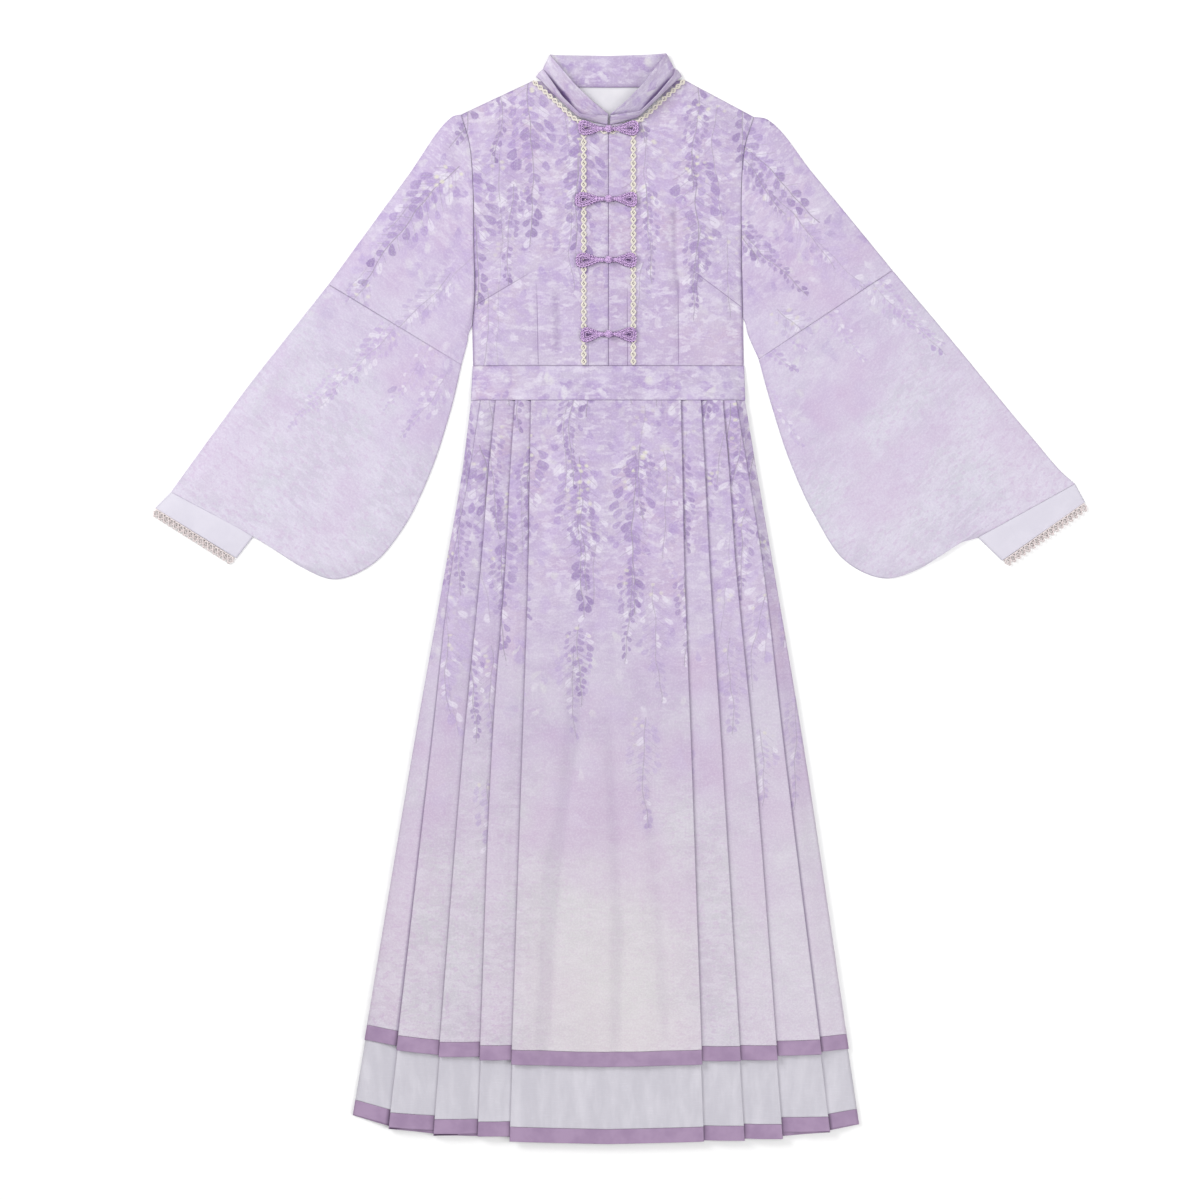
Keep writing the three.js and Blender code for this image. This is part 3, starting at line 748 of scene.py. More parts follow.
def depth_group() -> bpy.types.NodeTree:
    """Cloth colour darkened by painted shade in seams, under folds and in creases, as the shade attribute
    asks.

    Returns:
        The group, with the colour under its painted shade.
    """
    takes = {"Color": (1.0, 1.0, 1.0, 1.0), "Deep": tint((160, 146, 176)), "Strength": 0.9}
    w, take, give = new_group("Seam depth", takes, "Color", COLOR)
    # the shade attribute paints shade: up to 1 it darkens towards the shade tint, from 1 to 2 on to a darker
    # painted shadow for deep gaps
    shade = w.out(w.add("ShaderNodeAttribute", attribute_name="shade"), "Fac")
    deep = w.mix(1.0, take["Color"], take["Deep"], "MULTIPLY")
    seam = w.mix(shade * take["Strength"], take["Color"], deep)
    gap = w.mix(1.0, take["Color"], tint((112, 94, 132)), "MULTIPLY")
    w.feed(give["Color"], w.mix(w.band(shade, 1.0, 2.0), seam, gap))
    return w.tree


def petals_group() -> bpy.types.NodeTree:
    """Loose brush petals scattered over the cloth, each turned its own way.

    Returns:
        The group, with the mask and the tone of the petals.
    """
    w, take, give = new_group(
        "Brush petals",
        {
            "Cloth": None,
            "Size": 0.014,
            "Share": 0.6,
            "Full to": 0.3,
            "None past": 0.5,
            "Softness": 0.2,
            "Slim": 0.3,
            "Seed": 1.0,
        },
        "Mask, Tone",
    )
    u, v, _ = w.split(take["Cloth"])
    wave = w.noise(take["Cloth"], 90.0, 2.0)
    sway = w.noise(w.join(v, u, take["Seed"]), 80.0, 2.0)
    x = wave.scaled(0.006, u) / take["Size"] + take["Seed"] * 13.7
    y = sway.scaled(0.006, v) / take["Size"]
    _, colour, place = w.cells(w.join(x, y), 0.95)
    px, py, _ = w.split(place)
    turn, luck, tone = w.split(colour)
    angle = turn.scaled(2.6, -1.3)
    cosine, sine = w.math("COSINE", angle), w.math("SINE", angle)
    dx, dy = x - px, y - py
    across = dx * cosine + dy * sine
    along = dy * cosine - dx * sine
    girth = take["Slim"] * along.scaled(0.7, 1.0)
    round_off = (across / girth) ** 2.0
    length = (along / 0.5) ** 2.0
    far = w.math("SQRT", round_off + length)
    inside = w.band(far, 1.0 + take["Softness"], 1.0 - take["Softness"])
    down = py * take["Size"]
    chance = take["Share"] * w.band(down, take["Full to"], take["None past"], 1.0, 0.0)
    w.feed(give["Mask"], inside * (luck < chance))
    w.feed(give["Tone"], tone)
    return w.tree


def sewn_line_group() -> bpy.types.NodeTree:
    """A straight seam or dart on the cloth, between two places.

    Returns:
        The group, with the mask of the line and the side of it that a place is on.
    """
    takes = {"Cloth": None, "Start": None, "End": None, "Width": 0.0007}
    w, take, give = new_group("Sewn line", takes, "Mask, Side")
    x, y, _ = w.split(take["Cloth"])
    ax, ay, _ = w.split(take["Start"])
    bx, by, _ = w.split(take["End"])
    dx, dy = bx - ax, by - ay
    ox, oy = x - ax, y - ay
    square = dx * dx + dy * dy
    along = (ox * dx + oy * dy) / square
    length = w.math("SQRT", square)
    off = (ox * dy - oy * dx) / length
    on_it = w.band(along, -0.01, 0.03) * w.band(along, 1.01, 0.97)
    fading = on_it * w.band(along, 1.0, 0.55, 0.45, 1.0)
    w.feed(give["Mask"], fading * w.band(abs(off), take["Width"], take["Width"] * 0.3))
    # a band of painted shade on one side of the line, as beside a pressed dart
    beside = w.band(off, take["Width"] * 7.0, take["Width"])
    w.feed(give["Side"], beside * fading * (off > 0.0))
    return w.tree


def new_material(name: str) -> tuple[bpy.types.Material, Wiring, bpy.types.Node]:
    """Starts a material and returns it with its wiring and its shader.

    Args:
        name: Name of the material.

    Returns:
        The material, its wiring and its shader.
    """
    material = bpy.data.materials.new(name)
    material.use_nodes = True
    return material, Wiring(material.node_tree), material.node_tree.nodes["Principled BSDF"]


@dataclass
class Dyes:
    """The node groups that the cloths share, built once."""

    racemes: bpy.types.NodeTree = field(default_factory=racemes_group)
    wash: bpy.types.NodeTree = field(default_factory=wash_group)
    weave: bpy.types.NodeTree = field(default_factory=weave_group)
    # depth darkens colour with painted shade in seams, folds and creases
    depth: bpy.types.NodeTree = field(default_factory=depth_group)
    petals: bpy.types.NodeTree = field(default_factory=petals_group)
    sewn: bpy.types.NodeTree = field(default_factory=sewn_line_group)

    def place(self, w: Wiring, tree: bpy.types.NodeTree, **values: Value) -> dict[str, Signal]:
        """Puts a group in a material, with values for its inputs by name.

        Args:
            w: Wiring of the material.
            tree: The group.
            values: Values of its inputs, with _ for each space in a name.

        Returns:
            Its outputs by name.
        """
        node = w.add("ShaderNodeGroup", node_tree=tree)
        w.fill(node, **values)
        return {socket.name: Signal(w, socket) for socket in node.outputs}

    def deepened(self, w: Wiring, colour: Value, **values: Value) -> Signal:
        """A colour darkened by painted shade where the cloth lies in a seam, a fold or a crease."""
        return self.place(w, self.depth, Color=colour, **values)["Color"]


class Dye(Enum):
    """Colours that all cuttings of the print share."""

    SMEAR = (178, 157, 199)
    STROKE = (219, 212, 226)
    FINE_SMEAR = (218, 211, 226)
    FINE_STROKE = (182, 162, 203)
    CREAM = (219, 215, 212)
    BRIGHT_FLECK = (230, 227, 234)
    DULL_FLECK = (184, 170, 194)
    SEWING = (112, 92, 132)
    BESIDE_SEWING = (140, 120, 160)
    PALE_PETAL = (226, 221, 232)
    STEM = (150, 140, 158)
    BUD = (217, 214, 196)

    @property
    def colour(self) -> tuple[float, float, float, float]:
        """Its linear colour."""
        return tint(self.value)


@dataclass(frozen=True)
class Paint:
    """One layer of painted flowers.

    Attributes:
        full_to: How far down the cloth nearly all of them are there.
        none_past: Where the last of them is gone.
        light: Colour of the palest petals.
        dark: Colour of the deepest.
        cover: How strongly they cover what is under them.
        seed: Number that places them.
        softness: Blur of the petals' rims.
    """

    full_to: float
    none_past: float
    light: Swatch
    dark: Swatch
    cover: float
    seed: float
    softness: float

    def measures(self) -> dict[str, float]:
        """Its sizes, by the names of the group's inputs."""
        return {}

    def placed(self, w: Wiring, dyes: Dyes, tree: bpy.types.NodeTree) -> tuple[dict[str, Signal], Signal]:
        """Puts its group in a material.

        Args:
            w: Wiring of the material.
            dyes: The groups.
            tree: Group that paints it.

        Returns:
            The outputs of the group by name, and the colour of its petals.
        """
        values = {
            "Full_to": self.full_to,
            "None_past": self.none_past,
            "Softness": self.softness,
            "Seed": self.seed,
            **self.measures(),
        }
        layer = dyes.place(w, tree, Cloth=w.cloth(), **values)
        return layer, w.mix(layer["Tone"], tint(self.light), tint(self.dark))


@dataclass(frozen=True)
class Bloom(Paint):
    """One layer of painted racemes.

    Attributes:
        sizes: Width of its columns, length of a raceme, size of a petal and half width of a
            raceme, in metres.
        stem: How strongly the stems show.
    """

    sizes: tuple[float, float, float, float]
    stem: float

    def measures(self) -> dict[str, float]:
        """Its sizes, by the names of the group's inputs."""
        return dict(zip(("Column", "Row", "Petal", "Reach"), self.sizes))


@dataclass(frozen=True)
class Scatter(Paint):
    """One layer of loose brush petals.

    Attributes:
        size: Distance between petals, in metres.
        share: Share of them that is painted.
        slim: Half width of a petal, as a share of the size.
    """

    size: float
    share: float
    slim: float

    def measures(self) -> dict[str, float]:
        """Its sizes, by the names of the group's inputs."""
        return {"Size": self.size, "Share": self.share, "Slim": self.slim}


@dataclass(frozen=True)
class PrintedCloth:
    """Satin-weave cloth with a watercolour wisteria print that fades down its length.

    Attributes:
        name: Name of the finish.
        ground: Main colour of the ground.
        cloud: Colour of its pale clouds.
        blush: Colour of its warm patches.
        hem: Colour that the print fades to.
        fade: Where the fading starts and ends, down the cloth in metres.
        scatters: Layers of loose petals, the lowest first.
        blooms: Layers of racemes over them.
        seams: Darts and seams sewn into it, each a start and an end in millimetres.
        glow: Whether its pale end gets a painted sheen, lighter towards its right side, and its middle fades
            to cream further down.
    """

    name: str
    ground: Swatch
    cloud: Swatch
    blush: Swatch
    hem: Swatch
    fade: tuple[float, float]
    scatters: tuple[Scatter, ...]
    blooms: tuple[Bloom, ...]
    seams: tuple[tuple[Point, Point], ...] = ()
    glow: bool = False

    def grounded(
        self,
        w: Wiring,
        wash: dict[str, Signal],
        fine: dict[str, Signal],
        down: Signal,
        dyes: Dyes,
    ) -> Signal:
        """Paints the ground with its clouds, smears and loose petals.

        Args:
            w: Wiring of the material.
            wash: Outputs of the broad wash.
            fine: Outputs of the fine wash.
            down: Distance down the cloth.
            dyes: The groups.

        Returns:
            The colour.
        """
        colour = w.mix(wash["Clouds"] * 0.7, tint(self.ground), tint(self.cloud))
        colour = w.mix(wash["Drift"] * 0.6, colour, tint(self.blush))
        thick = w.band(down, self.fade[0] - 0.12, self.fade[0] + 0.2, 1.0, 0.0)
        colour = w.mix(wash["Smears"] * thick * 0.55, colour, Dye.SMEAR.colour)
        colour = w.mix(wash["Strokes"] * thick * 0.6, colour, Dye.STROKE.colour)
        uneven = wash["Blots"].scaled(-0.4, 1.0)
        for scatter in self.scatters:
            layer, petals = scatter.placed(w, dyes, dyes.petals)
            colour = w.mix(layer["Mask"] * scatter.cover * uneven, colour, petals)
        colour = w.mix(fine["Smears"] * thick * 0.4, colour, Dye.FINE_SMEAR.colour)
        colour = w.mix(fine["Strokes"] * thick * 0.35, colour, Dye.FINE_STROKE.colour)
        return w.mix(wash["Blots"] * 0.22, colour, tint(self.cloud))

    def faded(
        self,
        w: Wiring,
        wash: dict[str, Signal],
        fine: dict[str, Signal],
        across: Signal,
        down: Signal,
    ) -> Signal:
        """Paints the pale end of the cloth.

        Args:
            w: Wiring of the material.
            wash: Outputs of the broad wash.
            fine: Outputs of the fine wash.
            across: Distance across the cloth.
            down: Distance down it.

        Returns:
            The colour.
        """
        cool, warm, light = (
            tint(tuple(part + more for part, more in zip(self.hem, step)))
            for step in ((3, 10, 3), (12, 7, 10), (17, 19, 17))
        )
        pale = w.mix(wash["Clouds"] * 0.8, tint(self.hem), cool)
        pale = w.mix(wash["Drift"] * 0.7, pale, warm)
        pale = w.mix(wash["Blots"] * 0.5, pale, light)
        pale = w.mix(fine["Smears"] * 0.55, pale, light)
        pale = w.mix(fine["Strokes"] * 0.45, pale, tint(self.blush))
        if self.glow:
            # painted sheen: the pale end is lighter towards the right side
            pale = w.mix(w.band(across, 0.08, 0.4, 0.0, 0.5), pale, light)
            middle = w.band(abs(across), 0.17, 0.02, 0.0, 0.6)
            pale = w.mix(middle * w.band(down, 0.4, 0.75), pale, Dye.CREAM.colour)
        return pale

    def hung(self, w: Wiring, wash: dict[str, Signal], colour: Signal, dyes: Dyes) -> Signal:
        """Hangs the racemes over everything else.

        Args:
            w: Wiring of the material.
            wash: Outputs of the broad wash.
            colour: What is painted so far.
            dyes: The groups.

        Returns:
            The colour with the racemes.
        """
        uneven = wash["Blots"].scaled(-0.25, 1.0)
        for bloom in self.blooms:
            layer, petals = bloom.placed(w, dyes, dyes.racemes)
            colour = w.mix(layer["Petals"] * bloom.cover * uneven, colour, petals)
            colour = w.mix(layer["Pale"] * 0.6, colour, Dye.PALE_PETAL.colour)
            colour = w.mix(layer["Stem"] * bloom.stem, colour, Dye.STEM.colour)
            colour = w.mix(layer["Buds"] * bloom.stem, colour, Dye.BUD.colour)
        return colour

    def build(self, dyes: Dyes) -> bpy.types.Material:
        """Makes the material.

        Args:
            dyes: Node groups that the cloths share.

        Returns:
            The material.
        """
        material, w, shader = new_material(self.name)
        place = w.cloth()
        across, down, _ = w.split(place)
        wash = dyes.place(w, dyes.wash, Cloth=place)
        fine = dyes.place(w, dyes.wash, Cloth=place, Cloud=0.05, Blot=0.01)
        fading = w.band(wash["Drift"].scaled(-0.16, down), self.fade[0] - 0.08, self.fade[1] - 0.08)
        colour = self.grounded(w, wash, fine, down, dyes)
        colour = w.mix(fading * 0.9, colour, self.faded(w, wash, fine, across, down))
        colour = self.hung(w, wash, colour, dyes)
        flecks = wash["Speckles"] - 0.5
        colour = w.mix(w.math("MAXIMUM", flecks, 0.0) * 0.36, colour, Dye.BRIGHT_FLECK.colour)
        colour = w.mix(w.math("MAXIMUM", flecks * -1.0, 0.0) * 0.28, colour, Dye.DULL_FLECK.colour)
        weave = dyes.place(w, dyes.weave, Cloth=place)
        colour = w.mix(weave["Slub"] * 0.06, colour, tint(self.cloud))
        for seam in self.seams:
            start, end = ((x * MM, y * MM, 0.0) for x, y in seam)
            line = dyes.place(w, dyes.sewn, Cloth=place, Start=start, End=end)
            colour = w.mix(line["Mask"] * 0.62, colour, Dye.SEWING.colour)
            # painted shade beside the sewn line
            colour = w.mix(line["Side"] * 0.12, colour, Dye.BESIDE_SEWING.colour)
        w.fill(
            shader,
            Base_Color=dyes.deepened(w, colour),
            Roughness=weave["Slub"].scaled(0.12, 0.5),
            Normal=w.relief(weave["Height"], 0.00006, 0.5),
            Sheen_Weight=0.08,
            Sheen_Roughness=0.4,
            Specular_IOR_Level=0.3,
        )
        return material


@dataclass(frozen=True)
class PlainCloth:
    """Plain woven cloth, such as a facing, a cuff or a hem band.

    Attributes:
        name: Name of the finish.
        ground: Main colour.
        shadow: Colour of its duller patches, and of painted shade between its threads.
        rough: Roughness of its plain parts.
        sheen: Strength of the soft glow of its fibres.
        deep: Colour that painted shade in its seams darkens towards.
    """

    name: str
    ground: Swatch
    shadow: Swatch
    rough: float
    sheen: float = 0.15
    deep: Swatch = (120, 110, 140)

    def build(self, dyes: Dyes) -> bpy.types.Material:
        """Makes the material.

        Args:
            dyes: Node groups that the cloths share.

        Returns:
            The material.
        """
        material, w, shader = new_material(self.name)
        place = w.cloth()
        patches = w.band(w.noise(place, 1 / 0.03, 3.0, 0.6), 0.35, 0.68)
        colour = w.mix(patches * 0.7, tint(self.ground), tint(self.shadow))
        weave = dyes.place(w, dyes.weave, Cloth=place, Pitch=0.0006)
        # painted shade where the weave lies low between the threads
        threads = (1.0 - weave["Height"]) * 0.25
        w.fill(
            shader,
            Base_Color=dyes.deepened(w, w.mix(threads, colour, tint(self.shadow)), Deep=tint(self.deep)),
            Roughness=weave["Slub"].scaled(0.1, self.rough),
            Normal=w.relief(weave["Height"], 0.00008, 0.7),
            Sheen_Weight=self.sheen,
            Sheen_Roughness=0.45,
            Specular_IOR_Level=0.35,
        )
        return material


@dataclass(frozen=True)
class SheerCloth:
    """Crisp organza that lets what is under it show through.

    Attributes:
        name: Name of the finish.
        ground: Colour of its threads.
        bright: Colour of its painted sheen, in streaks where the threads seem to catch the light.
        cover: Share of the light that one face of the cloth stops.
    """

    name: str
    ground: Swatch
    bright: Swatch
    cover: float

    def build(self, dyes: Dyes) -> bpy.types.Material:
        """Makes the material.

        Args:
            dyes: Node groups that the cloths share.

        Returns:
            The material.
        """
        material, w, shader = new_material(self.name)
        place = w.cloth()
        across, down, _ = w.split(place)
        weave = dyes.place(w, dyes.weave, Cloth=place, Pitch=0.0007, Slant=0.0)
        # painted sheen in soft streaks down the cloth
        streaks = w.noise(w.join(across * 4.0, down), 12.0, 4.0, 0.6)
        streaked = w.mix(w.band(streaks, 0.36, 0.72), tint(self.ground), tint(self.bright))
        open_weave = weave["Height"].scaled(0.12, self.cover - 0.06)
        w.fill(
            shader,
            Base_Color=dyes.deepened(w, streaked, Strength=0.15),
            Alpha=weave["Slub"].scaled(0.05, open_weave),
            Roughness=weave["Slub"].scaled(0.1, 0.4),
            Normal=w.relief(weave["Height"], 0.00008, 0.6),
            Sheen_Weight=0.2,
            Specular_IOR_Level=0.4,
        )
        return material


@dataclass(frozen=True)
class BraidedThread:
    """Twisted thread or cord, with its plies slanting round it.

    Attributes:
        name: Name of the finish.
        light: Painted highlight on the crests of the plies.
        dark: Painted shade between them.
        pitch: Length of one ply, in metres.
        relief: Depth between plies, in metres.
        rough: Roughness.
        sheen: Strength of the soft glow.
        between: Heights over the floor between which its painted shade fades from strong, low down, to none,
            if it has such shade.
    """

    name: str
    light: Swatch
    dark: Swatch
    pitch: float = 0.0016
    relief: float = 0.00025
    rough: float = 0.8
    sheen: float = 0.2
    between: tuple[float, float] | None = None

    def build(self, dyes: Dyes) -> bpy.types.Material:
        """Makes the material.

        Args:
            dyes: Node groups that the cloths share.

        Returns:
            The material.
        """
        material, w, shader = new_material(self.name)
        place = w.out(w.add("ShaderNodeTexCoord"), "Object")
        x, y, z = w.split(place)
        turn = 2 * math.pi / self.pitch
        one = w.math("SINE", (x + y + z) * turn)
        two = w.math("SINE", (x - y + z) * turn)
        plies = (one * two).scaled(0.5, 0.5)
        fuzz = w.noise(place, 900.0, 2.0, 0.7)
        # painted highlight on the crests of the twisted plies and painted shade between them
        crest = w.band(fuzz.scaled(0.6, plies * 0.5), 0.36, 0.66)
        colour = w.mix(crest, tint(self.dark), tint(self.light))
        # painted shade low down between the cords, fading out over the given heights
        if self.between:
            colour = w.mix(w.band(z, *self.between, 0.85, 0.0), colour, tint((72, 44, 98)))
        w.fill(
            shader,
            Base_Color=dyes.deepened(w, colour),
            Roughness=fuzz.scaled(0.15, self.rough),
            Normal=w.relief(plies, self.relief, 0.8),
            Sheen_Weight=self.sheen,
            Specular_IOR_Level=0.35,
        )
        return material


# ------------------------------------------------------------------ skirt

WAIST_TOP = 21.6
WAIST_BOTTOM = -20.4
SKIRT_LENGTH = 780
SEAM = 0.3
SIDE_WALL = 1.8
BODY_WALL = 5.2
FLOOR_WALL = 0.5
FOLD_STEP = 1.2
PANEL_STEP = 3.7
EDGE_STEP = 1.45
HEM_BAND = 17.5
PLEAT_FACE = 22
FACE_STEPS = 8

# distance from the centre of each fold and of the side seam, at each of these heights
FOLD_HEIGHTS = (-800.0, -427.0, -211.0, -110.0, -20.4)
FOLD_LINES: dict[Side, tuple[tuple[float, ...], ...]] = {
    Side.LEFT: (
        (115, 102, 95, 93.5, 92),
        (153, 138, 122, 117, 111),
        (202, 172, 151, 143, 134),
        (253, 210, 185, 166, 152),
        (294.6, 232, 193.4, 175.8, 164.4),
    ),
    Side.RIGHT: (
        (112, 99, 91, 89, 87),
        (158, 135, 121, 116, 111),
        (202, 173, 152, 145, 137),
        (255, 209, 184, 168, 153),
        (289.4, 233.6, 197, 179.4, 164.4),
    ),
}

Across = Callable[[Side, float], float]


@dataclass(frozen=True)
class Hem:
    """Height of a hem from the centre outwards.

    Attributes:
        centre: Height at the centre.
        left: Heights at both ends of each pleat's face on the left, from the centre out.
        right: The same on the right.
    """

    centre: float
    left: tuple[float, ...]
    right: tuple[float, ...]

    def at(self, side: Side, face: float) -> float:
        """Height of the hem at one place across the pleats.

        Args:
            side: Side of the skirt.
            face: Place counted in ends of pleat faces from the centre out, -1 at the centre
                itself.

        Returns:
            The height there, in millimetres.
        """
        line = self.left if side is Side.LEFT else self.right
        if face < 0:
            return lerp(self.centre, line[0], 1 + face)
        low = min(int(face), len(line) - 2)
        return lerp(line[low], line[low + 1], face - low)


@dataclass
class PleatedPanel:
    """One section of the skirt: a flat centre and four knife pleats on each side.

    Attributes:
        node: Node of the model that it stands for; its band has the same name with _band.
        base: Height of the lowest layer of its pleats over the floor.
        edge: Height of its side seam.
        hem: Its hem line.
        flipped: Whether the pleats are turned over, as on a back.
        narrow: How far it keeps inside the fold lines.
        wall: Thickness of its cloth.
        rows: Number of steps down its length.
        centre_steps: Steps across half of the centre.
        creases: Ridges and troughs of the cloth.
        puff: How far the cloth stands proud in the middle of its length.
        print_shift: Place across the print where its centre line runs.
    """

    node: str
    base: float
    edge: float
    hem: Hem
    flipped: bool = False
    narrow: float = 0.0
    wall: float = 0.55
    rows: int = 110
    centre_steps: int = 24
    creases: tuple[Crease, ...] = ()
    puff: float = 0.0
    print_shift: float = 0.0

    def folds_at(self, side: Side, y: float) -> list[float]:
        """Distance of each fold and of the side seam from the centre, at one height."""
        return [curve_at(FOLD_HEIGHTS, line, y) - self.narrow for line in FOLD_LINES[side]]

    def lift(self, x: float, y: float, share: float) -> float:
        """How far the creases raise the cloth at one place.

        Args:
            x: Across the dress.
            y: Along the dress.
            share: How far out towards the side seam, from 0 to 1.

        Returns:
            The height to add.
        """
        if not self.puff and not self.creases:
            return 0.0
        down = (WAIST_BOTTOM - y) / SKIRT_LENGTH
        calm = ease(down / 0.06) * ease((1 - share) / 0.12)
        relief = self.puff * ease(down * 1.6) + creased(self.creases, x, y)
        relief += 0.35 * ease(down * 2) * ripple(x, y * 0.35, 38.0, self.base + 1.0)
        return max(relief, -0.9) * calm

    def section(self, side: Side, s: float, tops: Across, lows: Across) -> list[Spot]:
        """Points of one half across the pleats, from the centre outwards.

        Args:
            side: Which half.
            s: Share of the way from the top edge to the bottom edge.
            tops: Height of the top edge across the pleats.
            lows: Height of the bottom edge across the pleats.

        Returns:
            The points, with x positive outwards.
        """
        low = self.base + FLOOR_WALL
        levels = [low, low + FOLD_STEP, low + 2 * FOLD_STEP]
        under, between, over = levels[::-1] if self.flipped else levels
        proud = 0.12 if over > under else -0.12
        deep = 0.8 - 0.5 * s  # painted shade at the folds fades towards the hem, where they lie flatter
        spots: list[Spot] = []

        def put(place: Callable[[list[float]], float], z: float, face: float, shade: float = 0.0) -> None:
            """Adds a point whose x comes from the folds at its own height."""
            y = lerp(tops(side, face), lows(side, face), s)
            spots.append(Spot(place(self.folds_at(side, y)), y, z, shade=shade))

        def put_face(start: int, share: float, ends: Callable[[list[float]], Point], z: float) -> None:
            """Adds a point of a pleat's face, with painted shade beside the fold that lies on it."""
            shade = seam_shade(share * PLEAT_FACE, 0.55, 1.6) * deep
            put(lambda f: lerp(*ends(f), share), z, start + share, shade)

        def put_turn(edge: Callable[[list[float]], float], out: float, ends: Point, face: float) -> None:
            """Adds the points where the cloth turns round a fold, outwards or inwards (out < 0), with painted
            shade that grows round an outward turn and is full on an inward one.

            Args:
                edge: Furthest place of the turn, from the folds of its row.
                out: How far it swells, below 0 inwards.
                ends: Heights where it begins and ends.
                face: Place across the pleats, counted in faces from the centre out.
            """
            high, low = ends
            for turn in (40, 90, 140):
                angle = math.radians(turn)
                swing = out * math.sin(angle)
                z = (high + low) / 2 + (high - low) / 2 * math.cos(angle)
                shade = turn / 180 * deep if out > 0 else 1.0
                put(lambda f, swing=swing: edge(f) - out + swing, z, face, shade)

        def put_pleat(k: int) -> None:
            """Adds one pleat: its face, the turn at its fold and the two layers under it, which get full
            painted shade.

            Args:
                k: Number of the pleat from the centre panel out.
            """

            def tuck(f: list[float]) -> float:
                """Inner end of the layers under the fold."""
                return f[k] - 0.55 * (f[1] - f[0] if k == 0 else f[k] - f[k - 1])

            for step in range(FACE_STEPS if k else 0):
                share = (step + 0.25) / FACE_STEPS
                rise = ease((share - 0.03) / 0.42)
                put_face(2 * k - 1, share, lambda f: (f[k - 1], f[k]), lerp(under, over, rise))
            face = float(2 * k)
            put(lambda f: f[k] - 0.9, over + proud, face)
            put_turn(lambda f: f[k], FOLD_STEP / 2, (over, between), face)
            # the layers under the fold get full painted shade, which shows through sheer cloth
            put(lambda f: f[k] - 1.5, between, face, 1.0)
            put(lambda f: lerp(f[k], tuck(f), 0.5), between, face + 0.2, 1.0)
            put_turn(tuck, -FOLD_STEP / 2, (between, under), face + 0.4)
            put(lambda f: lerp(f[k], tuck(f), 0.5), under, face + 0.7, 1.0)
            put(lambda f: f[k] - 0.4, under, face + 0.95, 1.0)

        for step in range(self.centre_steps):
            share = step / self.centre_steps
            put(lambda f, share=share: f[0] * (1 - (1 - share) ** 1.25), over, share - 1)
        for fold in range(4):
            put_pleat(fold)
        for step in range(1, FACE_STEPS + 1):
            share = step / FACE_STEPS
            z = lerp(under, self.edge + FLOOR_WALL, ease(share))
            put_face(7, share, lambda f: (f[3], f[4] - 0.5), z)
        travelled = 0.0
        for before, spot in zip(spots, spots[1:]):
            travelled += math.hypot(spot.x - before.x, spot.z - before.z)
            spot.u = travelled
        return spots

    def surface(self, name: str, down: Sequence[float], tops: Across, lows: Across) -> bpy.types.Object:
        """Makes the sheet between two lines across the pleats.

        Args:
            name: Name of the piece.
            down: Shares of the way from the top line to the bottom line.
            tops: Height of the top line.
            lows: Height of the bottom line.

        Returns:
            The sheet.
        """
        grid = []
        for share in down:
            row: list[Spot] = []
            for side in Side:
                half = self.section(side, share, tops, lows)
                width = half[-1].x
                for spot in half:
                    lift = self.lift(side.value * spot.x, spot.y, spot.x / width)
                    # painted shade in the troughs of the creases
                    hollow = min(max(0.55 - lift, 0.0) * 0.1, 0.24) if self.creases else 0.0
                    spot.z += lift
                    spot.shade = max(spot.shade, hollow)
                    spot.x *= side.value
                    spot.u = side.value * spot.u + self.print_shift
                    spot.v = WAIST_BOTTOM - spot.y
                row += half[:0:-1] if side is Side.LEFT else half
            grid.append(row)
        return cloth_grid(name, grid, self.wall)

    def cut(self, top: float, low: float) -> tuple[Point, float]:
        """Flat cut between two heights.

        Args:
            top: Height of its top edge.
            low: Height of its bottom edge.

        Returns:
            Its widest width and its length, and the share of that rectangle it fills.
        """

        def width(height: float) -> float:
            """Width of the opened cloth at one height."""
            line: Across = lambda side, face: height
            return sum(self.section(side, 0.0, line, line)[-1].u for side in Side)

        at_top, at_hem = width(top), width(low)
        return (at_hem, top - low), (at_top + at_hem) / 2 / at_hem

    def build(
        self,
        slot: str,
        finish: bpy.types.Material,
        band_finish: bpy.types.Material,
        rests_on: str,
    ) -> None:
        """Makes the section and the contrast band at its hem.

        Args:
            slot: Material slot of the section.
            finish: Its material.
            band_finish: Material of the band.
            rests_on: What the section lies on.
        """
        top = WAIST_BOTTOM - SEAM / 2
        above = HEM_BAND + SEAM
        panel = self.surface(
            f"{self.node}_cloth",
            shares(self.rows, SKIRT_LENGTH),
            lambda side, face: top,
            lambda side, face: self.hem.at(side, face) + above,
        )
        band = self.surface(
            f"{self.node}_ribbon",
            shares(3, HEM_BAND),
            lambda side, face: self.hem.at(side, face) + HEM_BAND,
            self.hem.at,
        )
        dress(panel, [self.node], slot, finish)
        dress(band, [f"{self.node}_band"], "hem_cloth", band_finish)
        low = (self.hem.centre + self.hem.left[-1] + self.hem.right[-1]) / 3
        cut, share = self.cut(top, low + above)
        declare(panel, cut, share, Hold.FOLDED, [rests_on], [band])
        log.info("%s: %.0f x %.0f mm cut, with its band", self.node, *cut)


# ------------------------------------------------------------------ outlines of the body

